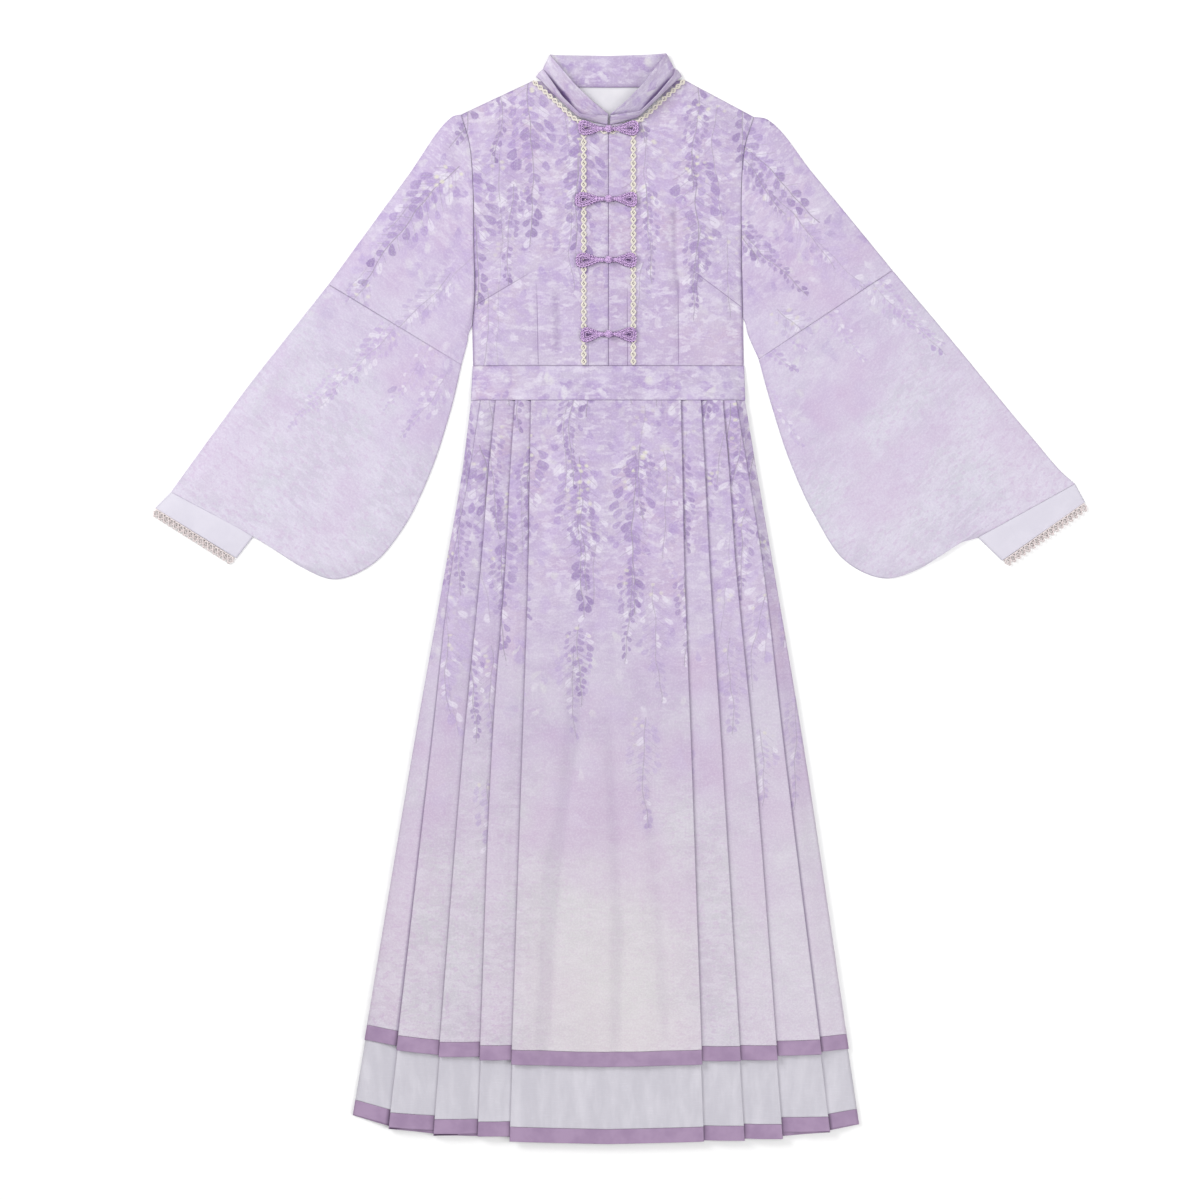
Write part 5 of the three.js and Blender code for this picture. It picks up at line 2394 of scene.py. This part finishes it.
@dataclass(frozen=True)
class Run:
    """A line that lace is sewn along.

    Attributes:
        path: Its middle line, by the share along it.
        length: Its length, in millimetres.
        height: Height of the middle of the lace over the floor, by the share along it.
    """

    path: Callable[[float], Sequence[float]]
    length: float
    height: Callable[[float], float]

    def beside(self, share: float, across: float, lift: float = 0.0) -> Place:
        """A point beside the line.

        Args:
            share: Share along it.
            across: Distance from it.
            lift: Height over the middle of the lace.

        Returns:
            The point.
        """
        share = min(max(share, 0.0), 1.0)
        x, y = self.path(share)[:2]
        ax, ay = self.path(min(share + 0.002, 1.0))[:2]
        bx, by = self.path(max(share - 0.002, 0.0))[:2]
        size = math.hypot(ax - bx, ay - by)
        nx, ny = (ay - by) / size, -(ax - bx) / size
        return x + nx * across, y + ny * across, self.height(share) + lift


@dataclass
class LaceTrim:
    """A narrow cotton lace: two waving threads that cross into eyelets, with small picots.

    Attributes:
        width: Width over its waves, in millimetres.
        pitch: Length of one eyelet.
        thread: Radius of its waving threads.
        picot: Size of the picots on the edges they stand on.
        one_edge: Whether only its second edge has picots and the first is a straight cord.
    """

    width: float
    pitch: float
    thread: float
    picot: float
    one_edge: bool = False

    def weave(self, run: Run, threads: Threads) -> None:
        """Makes the lace along one line.

        Args:
            run: The line.
            threads: What its threads are added to.
        """
        waves = max(round(run.length / self.pitch), 2)
        steps = waves * 10
        reach = self.width / 2 - self.thread
        for hand in (1, -1):
            path = []
            for i in range(steps + 1):
                turn = math.pi * i / 10
                lift = 0.45 * self.thread * math.cos(turn) * hand
                path.append(run.beside(i / steps, hand * math.sin(turn) * reach, lift))
            threads.add(path, self.thread)
        if self.one_edge:
            across = -reach - self.thread * 0.4
            edge = [run.beside(i / (waves * 2), across) for i in range(waves * 2 + 1)]
            threads.add(edge, self.thread * 0.8)
        core = [run.beside(i / steps, 0.9 * math.sin(2 * math.pi * i / 5), 0.2) for i in range(steps + 1)]
        threads.add(core, self.thread * 0.6, 5)
        for wave in range(waves):
            middle = (wave + 0.5) / waves
            for hand in (1,) if self.one_edge else (1, -1):
                loop = []
                for k in range(9):
                    turn = math.pi * (k / 8)
                    along = middle + math.cos(turn) * self.pitch * 0.22 / run.length
                    across = hand * (reach + self.picot * 1.15 * math.sin(turn))
                    loop.append(run.beside(along, across, 0.1))
                threads.add(loop, self.thread * 0.5, 5)

    def build(self, node: str, finish: bpy.types.Material, *runs: Run) -> bpy.types.Object:
        """Makes the trim along one or more lines.

        Args:
            node: Node of the model that it stands for.
            finish: Its material.
            runs: The lines.

        Returns:
            The trim, as one piece.
        """
        threads = Threads()
        for run in runs:
            self.weave(run, threads)
        return dress(mesh_object(f"{node}_thread", threads.points, threads.faces), [node], "lace", finish)


# ------------------------------------------------------------------ frog fastenings


def deselect_all() -> None:
    """Deselects everything, as the model's own nodes come in selected."""
    if bpy.context.object and bpy.context.object.mode != "OBJECT":
        bpy.ops.object.mode_set(mode="OBJECT")
    bpy.ops.object.select_all(action="DESELECT")


def joined_object(parts: Sequence[bpy.types.Object], name: str) -> bpy.types.Object:
    """Joins parts into one object at the origin.

    Args:
        parts: The parts.
        name: Name of the whole.

    Returns:
        The whole.
    """
    deselect_all()
    for part in parts:
        part.select_set(True)
    bpy.context.view_layer.objects.active = parts[0]
    bpy.ops.object.join()
    whole = bpy.context.view_layer.objects.active
    bpy.ops.object.transform_apply(location=True, rotation=True, scale=True)
    whole.name = name
    whole.data.name = name
    deselect_all()
    return whole


@dataclass
class Frogs:
    """Four frog fastenings of braided cord: a loop leaf, a knot leaf and a knot each.

    Attributes:
        cord: Radius of the cord, in millimetres.
        length: Length of a leaf's outline.
        span: Length of a whole leaf, with its cord.
        seat: Height of the placket face that they are sewn on.
        places: Height on the dress, reach to the left and to the right, and tilt of each.
    """

    cord: float = 1.55
    length: float = 36.5
    span: float = 38.0
    seat: float = 6.3
    places: tuple[tuple[float, float, float, float], ...] = (
        (304.6, 38, 38, 2.4),
        (221, 42, 36, -1.6),
        (148, 41, 35, -0.8),
        (59, 35, 35, -1.2),
    )

    def cord_piece(self, path: Sequence[Place], radius: float, rings: int = 4) -> bpy.types.Object:
        """A length of cord along a smooth path, drawn as a curve and made a mesh.

        Args:
            path: Places that pull it along, in millimetres.
            radius: Its radius.
            rings: Rings between one place and the next.

        Returns:
            The cord.
        """
        deselect_all()
        bpy.ops.curve.primitive_nurbs_path_add(enter_editmode=False, location=(0, 0, 0))
        drawn = bpy.context.object
        drawn.data.splines.clear()
        spline = drawn.data.splines.new("NURBS")
        spline.points.add(len(path) - 1)
        for point, place in zip(spline.points, path):
            point.co = (*[c * MM for c in place], 1.0)
        spline.order_u = 4
        spline.use_endpoint_u = True
        drawn.data.resolution_u = rings
        drawn.data.bevel_depth = radius * MM
        drawn.data.bevel_resolution = 2
        drawn.data.use_fill_caps = True
        bpy.ops.object.convert(target="MESH")
        return bpy.context.object

    def leaf_path(self, shrink: float, lift: float) -> list[Place]:
        """Outline of one leaf, a drop, drawn in by a distance.

        Args:
            shrink: The distance.
            lift: Height of the outline.

        Returns:
            Its places, from the upper side round the tip to the lower side.
        """
        drop = ((2, 1.9), (6, 2.0), (12, 3.5), (18, 5.9), (24, 8.2), (29, 9.3), (33, 8.2), (35.6, 5.0))
        tip = self.length - shrink
        upper = [(min(x, tip) if x > 20 else x, max(y - shrink, 0.4), lift) for x, y in drop]
        return [*upper, (tip, 0.0, lift), *[(x, -y, z) for x, y, z in reversed(upper)]]

    def twisted(self, path: Sequence[Place], radius: float, turns: float) -> list[bpy.types.Object]:
        """Two plies twisted along a path, as a braided cord shows them.

        Args:
            path: The path.
            radius: Radius over both plies.
            turns: Number of turns on the way.

        Returns:
            The plies.
        """
        line = Line(path)
        steps = round(turns * 8)
        plies = []
        for start in range(2):
            route = []
            for step in range(steps + 1):
                share = step / steps
                x, y, z = line.at(share)
                ax, ay, _ = line.at(min(share + 0.01, 1.0))
                bx, by, _ = line.at(max(share - 0.01, 0.0))
                size = math.hypot(ax - bx, ay - by)
                turn = 2 * math.pi * (turns * share + start / 2)
                out, up = 0.55 * radius * math.cos(turn), 0.55 * radius * math.sin(turn)
                route.append((x - (ay - by) / size * out, y + (ax - bx) / size * out, z + up))
            plies.append(self.cord_piece(route, radius * 0.58, 2))
        return plies

    def leaf(self, sign: int) -> bpy.types.Object:
        """One leaf of three loops inside each other, pointing to one side.

        Args:
            sign: Sign of X of the way that it points.

        Returns:
            The leaf at the origin.
        """
        r = self.cord
        loops = (
            (r, 1.0, r, 13, 0),
            (r * 2.8, 1.3, r * 0.85, 11, 1),
            (r * 4.3, 1.0, r * 0.7, 6, 3),
        )
        parts = []
        for shrink, lift, radius, turns, skip in loops:
            path = [(sign * x, y, z) for x, y, z in self.leaf_path(shrink, r * lift)]
            parts += self.twisted(path[skip : len(path) - skip], radius, turns)
        # low cords down the middle, darkened by the cord's painted shade low down, fill the leaf's slit with
        # dark
        core = [(sign * x, y, 0.1) for x, y in ((3, 0.0), (14, 0.5), (22, -0.4), (31, 0.0))]
        parts.append(self.cord_piece(core, r * 0.55))
        for hand in (1, -1):
            beside = [(x, y + hand * 1.7, z) for x, y, z in core[1:]]
            parts.append(self.cord_piece([*beside, core[-1]], r * 0.55))
        for at in (5.0, 7.6):
            wrap = []
            for k in range(9):
                turn = math.pi * k / 8
                along, across = at + 0.8 * math.cos(turn), (2.2 + at * 0.12) * math.cos(turn)
                wrap.append((sign * along, across, 0.3 + 2.8 * math.sin(turn)))
            parts.append(self.cord_piece(wrap, r * 0.5))
        return joined_object(parts, "frog_leaf")

    def knot(self) -> bpy.types.Object:
        """A knot button of crossing turns of cord.

        Returns:
            The knot at the origin.
        """
        core = 3.4 * MM
        deselect_all()
        bpy.ops.mesh.primitive_uv_sphere_add(segments=20, ring_count=12, radius=core, location=(0, 0, core))
        parts = [bpy.context.object]
        for tilt, spin in ((0.0, 0.0), (0.95, 0.3), (0.95, 2.4), (0.95, 4.5), (1.5, 1.2)):
            deselect_all()
            bpy.ops.mesh.primitive_torus_add(
                major_segments=28,
                minor_segments=8,
                major_radius=3.3 * MM,
                minor_radius=1.3 * MM,
                location=(0, 0, 4.2 * MM),
                rotation=(tilt, 0.2, spin),
            )
            parts.append(bpy.context.object)
        return joined_object(parts, "frog_knot")

    def placed(
        self,
        model: bpy.types.Object,
        name: str,
        reach: float,
        y: float,
        tip: float,
    ) -> bpy.types.Object:
        """Copies a model to its place, with its own mesh.

        Args:
            model: Modelled part at the origin.
            name: Name of the copy.
            reach: Length that its span becomes.
            y: Height on the dress.
            tip: Tilt of its outer end, in millimetres along the dress.

        Returns:
            The copy.
        """
        made = bpy.data.objects.new(name, model.data.copy())
        bpy.context.scene.collection.objects.link(made)
        for vertex in made.data.vertices:
            x, across, z = vertex.co
            share = x / (self.length * MM)
            vertex.co = (
                CENTRE * MM + x * reach / self.span,
                y * MM + across + tip * MM * share * share,
                self.seat * MM + z + 0.0006 * share * share,
            )
        return made

    def build(self, finish: bpy.types.Material) -> None:
        """Makes all four fastenings.

        Args:
            finish: Material of the cord.
        """
        models = {side: self.leaf(side.value) for side in Side}
        knot = self.knot()
        for i, (y, left, right, tilt) in enumerate(self.places, start=1):
            loop = self.placed(models[Side.LEFT], f"frog_{i}_loop_cord", left, y, tilt)
            leaf = self.placed(models[Side.RIGHT], f"frog_{i}_knot_cord", right, y, tilt * 0.7)
            button = self.placed(knot, f"frog_{i}_button", self.span, y, 0.0)
            closed = joined_object([leaf, button], f"frog_{i}_knot_cord")
            for piece, node in ((loop, f"frog_{i}_loop"), (closed, f"frog_{i}_knot")):
                for polygon in piece.data.polygons:
                    polygon.use_smooth = True
                dress(piece, [node], "frog_cord", finish)
            log.info("frog %d: %d + %d faces", i, len(loop.data.polygons), len(closed.data.polygons))
        for model in (*models.values(), knot):
            bpy.data.objects.remove(model)


# ------------------------------------------------------------------ finishes

# sizes of racemes: column, length, petal and half width, in metres
LARGE = (0.085, 0.22, 0.0185, 0.04)
USUAL = (0.066, 0.25, 0.0155, 0.031)
SPARSE = (0.085, 0.16, 0.011, 0.022)
SMALL = (0.075, 0.15, 0.0092, 0.019)
SLEEVE_SMALL = (0.075, 0.15, 0.0095, 0.02)
SLEEVE_TINY = (0.06, 0.12, 0.0065, 0.014)


def printed(name: str, fade: Point, flowers: Place, **more: object) -> PrintedCloth:
    """One cutting of the printed cloth.

    Args:
        name: Name of the finish.
        fade: Where it starts and ends to fade.
        flowers: Where its flowers thin out, where they end, and the number that places them.
        more: What differs from the usual cutting.

    Returns:
        The cloth.
    """
    top, end, n = flowers
    low, late = end + 0.12, end + 0.05
    last = late + 0.1
    usual = {
        "ground": (180, 161, 196),
        "cloud": (199, 191, 208),
        "blush": (193, 169, 197),
        "hem": (193, 185, 197),
        "scatters": (
            Scatter(top, late + 0.25, (204, 194, 214), (184, 165, 203), 0.5, n + 0.3, 0.5, 0.036, 0.65, 0.36),
            Scatter(top - 0.1, late, (188, 168, 206), (167, 144, 194), 0.6, n + 1.1, 0.22, 0.022, 0.5, 0.3),
            Scatter(top - 0.1, late, (174, 152, 200), (152, 127, 181), 0.6, n + 1.9, 0.2, 0.014, 0.2, 0.26),
            Scatter(top - 0.1, last, (222, 217, 229), (210, 208, 208), 0.55, n + 2.6, 0.4, 0.015, 0.16, 0.22),
        ),
        "blooms": (
            Bloom(top, low, (196, 179, 212), (172, 150, 199), 0.6, n + 2, 0.12, LARGE, 0.3),
            Bloom(low, low + 0.1, (188, 170, 206), (158, 134, 186), 0.6, n + 5, 0.09, SPARSE, 0.5),
            Bloom(top + 0.02, end, (174, 151, 200), (120, 92, 152), 0.85, n + 3, 0.06, USUAL, 0.8),
            Bloom(top - 0.04, end + 0.06, (170, 147, 195), (122, 94, 153), 0.8, n + 4, 0.07, SMALL, 0.6),
        ),
    }
    return PrintedCloth(name=name, fade=fade, **{**usual, **more})


LIGHT_GROUND = {"ground": (187, 168, 203), "blush": (197, 175, 204)}
Kind = PrintedCloth | PlainCloth | SheerCloth | BraidedThread
Finishes = dict[str, bpy.types.Material]
FINISHES: tuple[Kind, ...] = (
    printed("wisteria_skirt", (0.22, 0.7), (0.2, 0.34, 1.0), glow=True),
    printed(
        "wisteria_bodice",
        (0.36, 1.0),
        (0.18, 0.3, 11.0),
        seams=(
            ((-159, 278), (-95, 240)),
            ((160, 280), (97, 233)),
            ((-83.5, 350), (-85.5, 252)),
            ((84.5, 350), (84, 245)),
        ),
    ),
    printed(
        "wisteria_back",
        (0.36, 1.0),
        (0.18, 0.3, 12.0),
        seams=(((-80, 350), (-76, 215)), ((80, 350), (76, 215))),
    ),
    # the waistband and the collar are cut where the print has no racemes
    printed(
        "wisteria_waist",
        (2.0, 3.0),
        (2.0, 3.0, 21.0),
        ground=(175, 156, 192),
        cloud=(195, 187, 205),
        blush=(189, 165, 194),
        scatters=(
            Scatter(2.0, 3.0, (214, 207, 224), (199, 188, 214), 0.6, 21.3, 0.5, 0.03, 0.7, 0.4),
            Scatter(2.0, 3.0, (180, 158, 202), (160, 136, 188), 0.62, 22.1, 0.25, 0.019, 0.55, 0.32),
            Scatter(2.0, 3.0, (172, 149, 197), (150, 124, 180), 0.6, 22.9, 0.2, 0.013, 0.3, 0.26),
            Scatter(2.0, 3.0, (226, 222, 232), (216, 216, 208), 0.6, 23.6, 0.4, 0.017, 0.2, 0.26),
        ),
        blooms=(),
    ),
    printed(
        "wisteria_sleeve",
        (0.12, 0.5),
        (0.14, 0.28, 31.0),
        cloud=(203, 195, 213),
        hem=(198, 188, 209),
        **LIGHT_GROUND,
    ),
    printed(
        "wisteria_sleeve_pale",
        (0.2, 0.5),
        (0.2, 0.3, 41.0),
        cloud=(201, 191, 212),
        hem=(197, 190, 207),
        blooms=(
            Bloom(0.28, 0.44, (194, 173, 211), (160, 134, 188), 0.75, 43.0, 0.09, SLEEVE_SMALL, 0.3),
            Bloom(0.26, 0.42, (200, 181, 215), (178, 155, 201), 0.7, 44.0, 0.12, SLEEVE_TINY, 0.15),
        ),
        **LIGHT_GROUND,
    ),
    PlainCloth("cuff_satin", (215, 211, 223), (208, 204, 217), rough=0.5),
    PlainCloth("facing_lawn", (226, 224, 229), (214, 212, 219), rough=0.7),
    PlainCloth("hem_ribbon", (169, 144, 175), (147, 122, 155), rough=0.45, sheen=0.25, deep=(110, 90, 120)),
    SheerCloth("organza", (206, 203, 213), (220, 217, 226), cover=0.84),
    # the lace and the frog cord carry painted highlight on their plies; the frog cord also painted shade low
    # between its cords
    BraidedThread("cotton_lace", (240, 235, 225), (226, 217, 203)),
    BraidedThread("cuff_lace", (242, 232, 232), (220, 205, 203)),
    BraidedThread(
        "frog_cord",
        (244, 208, 255),
        (86, 44, 124),
        pitch=0.0034,
        relief=0.0004,
        rough=0.4,
        sheen=0.3,
        between=(0.008, 0.0096),
    ),
)


# ------------------------------------------------------------------ the dress

HEMS = {
    "skirt_back": Hem(
        -812,
        (-811, -808, -808, -805, -804, -801, -797, -794, -787),
        (-811, -809, -808, -807, -806, -803, -801, -799, -796),
    ),
    "underskirt_back": Hem(
        -904,
        (-904, -902, -902, -901, -901, -898, -893, -889, -877),
        (-905, -905, -904, -903, -903, -901, -897, -894, -888),
    ),
    "underskirt_front": Hem(
        -910,
        (-907, -901, -901, -898, -898, -894, -890, -887, -876),
        (-907, -906, -906, -904, -904, -896, -895, -892, -887),
    ),
    "skirt_front": Hem(
        -817,
        (-814, -809, -809, -805, -805, -803, -797, -792, -786),
        (-814, -810, -810, -809, -809, -804, -802, -799, -797),
    ),
}
SKIRT_CREASES = (
    Crease((-38, -330), (-66, -600), 10, -2.7, 4),
    Crease((-66, -560), (-80, -815), 9, -3.6),
    Crease((0, -400), (12, -660), 9, -1.98),
    Crease((12, -640), (8, -815), 9, -2.34),
    Crease((44, -460), (70, -815), 10, -1.98),
    Crease((-30, -480), (-36, -815), 18, 2.52),
    Crease((40, -560), (38, -815), 15, 1.98),
    Crease((-96, -560), (-104, -815), 9, 1.62),
    Crease((88, -500), (98, -815), 9, 1.44),
    Crease((-152, -758), (-124, -786), 4, 1.98),
    Crease((-148, -774), (-130, -784), 3, 1.44),
    Crease((-186, -700), (-160, -760), 7, 1.26),
    Crease((150, -610), (178, -646), 7, 1.26),
    Crease((186, -560), (216, -590), 7, 1.08),
    Crease((204, -690), (240, -740), 8, 1.44),
    Crease((-240, -600), (-262, -740), 10, 1.62),
    Crease((-214, -440), (-226, -640), 9, 1.08),
    Crease((120, -640), (132, -800), 8, 1.26),
    Crease((-128, -420), (-138, -700), 8, 1.26),
    Crease((-60, -60), (-52, -200), 15, 1.08),
    Crease((52, -70), (46, -230), 15, 1.08),
)


def make_skirt(finishes: Finishes) -> None:
    """Makes the four sections of the skirt and their bands, from the floor up.

    Args:
        finishes: Materials by name.
    """
    sheer = {"narrow": 1.0, "wall": 0.35, "rows": 60, "centre_steps": 16}
    looks = (
        {"flipped": True, "print_shift": 900},
        {"flipped": True, **sheer},
        sheer,
        {"rows": 130, "centre_steps": 30, "creases": SKIRT_CREASES, "puff": 1.2},
    )
    rests_on = "floor"
    for layer, ((node, hem), look) in enumerate(zip(HEMS.items(), looks)):
        panel = PleatedPanel(node, layer * PANEL_STEP, layer * EDGE_STEP, hem, **look)
        slot, finish = ("organza", "organza") if "under" in node else ("print", "wisteria_skirt")
        panel.build(slot, finishes[finish], finishes["hem_ribbon"], rests_on)
        rests_on = node


def make_front(body: Bodice, side: Side, finishes: Finishes) -> None:
    """Makes one front with its placket strip and its lace.

    Args:
        body: The bodice.
        side: Which front.
        finishes: All materials by name.
    """
    sign, label = side.value, side.label
    printed_cloth, cotton = finishes["wisteria_bodice"], finishes["cotton_lace"]
    middle, over = CENTRE + sign * PLACKET, BODY_WALL + 1.25
    strip = dress(body.strip(side), [f"placket_{label}"], "print", printed_cloth)
    down = Run(lambda s: (middle, lerp(302.0, WAIST_TOP + SEAM + 0.5, s)), 280.0, lambda s: over)
    placket_lace = LaceTrim(6.6, 8.5, thread=1.0, picot=0.7)
    straight = placket_lace.build(f"placket_lace_{label}", cotton, down)
    offsets = ((0.9, 1.2), (0.9, 0.9), (0.7, 1.2), (0.3, 5.8), (1.6, 10.0))
    beside = Line([(x + sign * out, y - low, z + 2.0) for (x, y, z), (out, low) in zip(NECK[side], offsets)])
    along_neck = Run(beside.at, Line(NECK[side]).length, lambda s: beside.at(s)[2])
    neck_lace = LaceTrim(5.6, 7.5, thread=0.9, picot=0.7)
    curved = neck_lace.build(f"neck_lace_{label}", cotton, along_neck)
    front = dress(body.front(side), [f"bodice_front_{label}"], "print", printed_cloth)
    declare(front, (150, 342), 0.86, Hold.LAID, ["bodice_back"], [straight, curved])
    declare(strip, (29.5, 293), 0.99, Hold.LAID, ["neck_facing", "bodice_back"])


def make_bodice(finishes: Finishes) -> None:
    """Makes the body of the dress with its collar, lace and waistband.

    Args:
        finishes: Materials by name.
    """
    body = Bodice()
    back = dress(body.back(), ["bodice_back"], "print", finishes["wisteria_back"])
    declare(back, (362, 342), 0.86, Hold.LAID, ["floor"])
    for side in Side:
        make_front(body, side, finishes)
    facing = dress(body.facing(), ["neck_facing"], "facing_cloth", finishes["facing_lawn"])
    declare(facing, (130, 60), 0.85, Hold.LAID, ["bodice_back"])
    waist = finishes["wisteria_waist"]
    inner = dress(body.band("inner", -0.8), ["collar_inner"], "pale_print", waist)
    outer = dress(body.band("outer", 0.8), ["collar_outer"], "print", waist)
    declare(inner, (400, 36), 0.77, Hold.FOLDED, ["bodice_back"])
    declare(outer, (410, 20), 0.67, Hold.FOLDED, ["bodice_back"])
    for front, word, under in ((False, "back", "floor"), (True, "front", "skirt_front")):
        piece = dress(Waistband().build(front), [f"waistband_{word}"], "print", waist)
        declare(piece, (330, 42), 0.99, Hold.LAID, [under])


def make_sleeve(side: Side, finishes: Finishes) -> None:
    """Makes one sleeve with its cuff and lace.

    Args:
        side: Which sleeve.
        finishes: Materials by name.
    """
    sleeve, label = Sleeve(side), side.label
    tables = sleeve.tables
    upper = sleeve.tube(f"upper_{label}", tables.upper, 230, 78, 70, armhole=True, seam=(0.25, 0.3))
    dress(upper, [f"sleeve_upper_{label}"], "print", finishes["wisteria_sleeve"])
    declare(upper, (500, 250), 0.47, Hold.FOLDED, ["floor"])
    lower = sleeve.tube(f"lower_{label}", tables.lower, 330, 110, 84, seam=(0.25, 0.05))
    dress(lower, [f"sleeve_lower_{label}"], "pale_print", finishes["wisteria_sleeve_pale"])
    declare(lower, *tables.bell_cut, Hold.FOLDED, ["floor"])
    cuff = sleeve.tube(f"cuff_{label}_cloth", tables.cuff, 32, 12, 40, seam=(0.05, 0.2), ripples=0.5)
    dress(cuff, [f"cuff_{label}"], "cuff_cloth", finishes["cuff_satin"])
    begin, end = tables.lace
    ends = [tuple((a + b) / 2 for a, b in zip(begin[k], end[k])) for k in range(2)]
    width = math.dist(*ends)
    path = Line(ends[::-1] if side is Side.RIGHT else ends, smooth=False)

    def along(share: float) -> Sequence[float]:
        """Place on the end of the cuff, a little inside its two folds."""
        return path.at(0.012 + 0.976 * share)

    trim = LaceTrim(9.0, 7.0, thread=0.75, picot=1.3, one_edge=True)
    lace = trim.build(
        f"cuff_lace_{label}",
        finishes["cuff_lace"],
        Run(along, width, lambda s: lerp(2.0, 3.4, ease(min(s, 1 - s) / 0.15))),
        Run(along, width, lambda s: 1.0),
    )
    declare(cuff, *tables.cuff_cut, Hold.FOLDED, ["floor"], [lace])


@dataclass
class Studio:
    """Pale floor, soft light from above and the camera straight over the dress.

    Attributes:
        middle: Point that the camera looks at, in metres.
        height: Height of the camera over the floor.
        lens: Focal length, in millimetres on a 36 mm frame.
    """

    middle: Point = (-0.0096, -0.2592)
    height: float = 3.2
    lens: float = 80.0

    def floor(self) -> None:
        """Lays a matt floor."""
        deselect_all()
        bpy.ops.mesh.primitive_plane_add(size=8.0, location=(0, 0, 0))
        made = bpy.context.object
        bpy.ops.object.mode_set(mode="EDIT")
        bpy.ops.mesh.select_all(action="SELECT")
        bpy.ops.mesh.subdivide(number_cuts=6)
        bpy.ops.object.mode_set(mode="OBJECT")
        made.name = "floor"
        material, w, shader = new_material("studio_floor")
        grain = w.noise(w.out(w.add("ShaderNodeTexCoord"), "Object"), 160.0, 3.0, 0.6)
        w.fill(
            shader,
            Base_Color=w.mix(grain, tint((250, 250, 250)), tint((254, 254, 254))),
            Roughness=grain.scaled(0.1, 0.85),
            Specular_IOR_Level=0.1,
        )
        made.data.materials.append(material)

    def lamp(self, name: str, place: Place, size: float, power: float) -> None:
        """Hangs a square soft light that faces the middle of the dress.

        Args:
            name: Name of the light.
            place: Where it hangs, in metres.
            size: Length of its side.
            power: Its power, in watts.
        """
        light = bpy.data.lights.new(name, "AREA")
        light.shape = "SQUARE"
        light.size = size
        light.energy = power
        lamp = bpy.data.objects.new(name, light)
        lamp.location = place
        aim = Vector((*self.middle, 0)) - Vector(place)
        lamp.rotation_euler = aim.to_track_quat("-Z", "Y").to_euler()
        bpy.context.scene.collection.objects.link(lamp)

    def build(self) -> None:
        """Sets up floor, lights, sky and camera."""
        self.floor()
        self.lamp("key", (-2.6, 1.5, 2.2), 1.5, 78.0)
        self.lamp("fill", (2.4, -0.9, 2.7), 2.2, 46.0)
        self.lamp("top", (0.0, -0.2, 4.6), 3.0, 56.0)
        world = bpy.data.worlds.new("soft_room")
        world.use_nodes = True
        sky = world.node_tree.nodes["Background"]
        sky.inputs["Color"].default_value = (1.0, 1.0, 1.0, 1.0)
        sky.inputs["Strength"].default_value = 0.4
        bpy.context.scene.world = world
        camera = bpy.data.objects.new("camera", bpy.data.cameras.new("camera"))
        camera.data.lens = self.lens
        camera.data.sensor_width = 36.0
        camera.location = (*self.middle, self.height)
        bpy.context.scene.collection.objects.link(camera)
        bpy.context.scene.camera = camera
        bpy.context.scene.view_settings.view_transform = "Standard"
        bpy.context.scene.cycles.transparent_max_bounces = 40


def main() -> None:
    """Builds the studio and the dress, piece by piece."""
    logging.basicConfig(level=logging.INFO, format="%(name)s: %(message)s")
    Studio().build()
    dyes = Dyes()
    finishes = {finish.name: finish.build(dyes) for finish in FINISHES}
    make_skirt(finishes)
    make_bodice(finishes)
    for side in Side:
        make_sleeve(side, finishes)
    Frogs().build(finishes["frog_cord"])


if __name__ == "__main__":
    main()
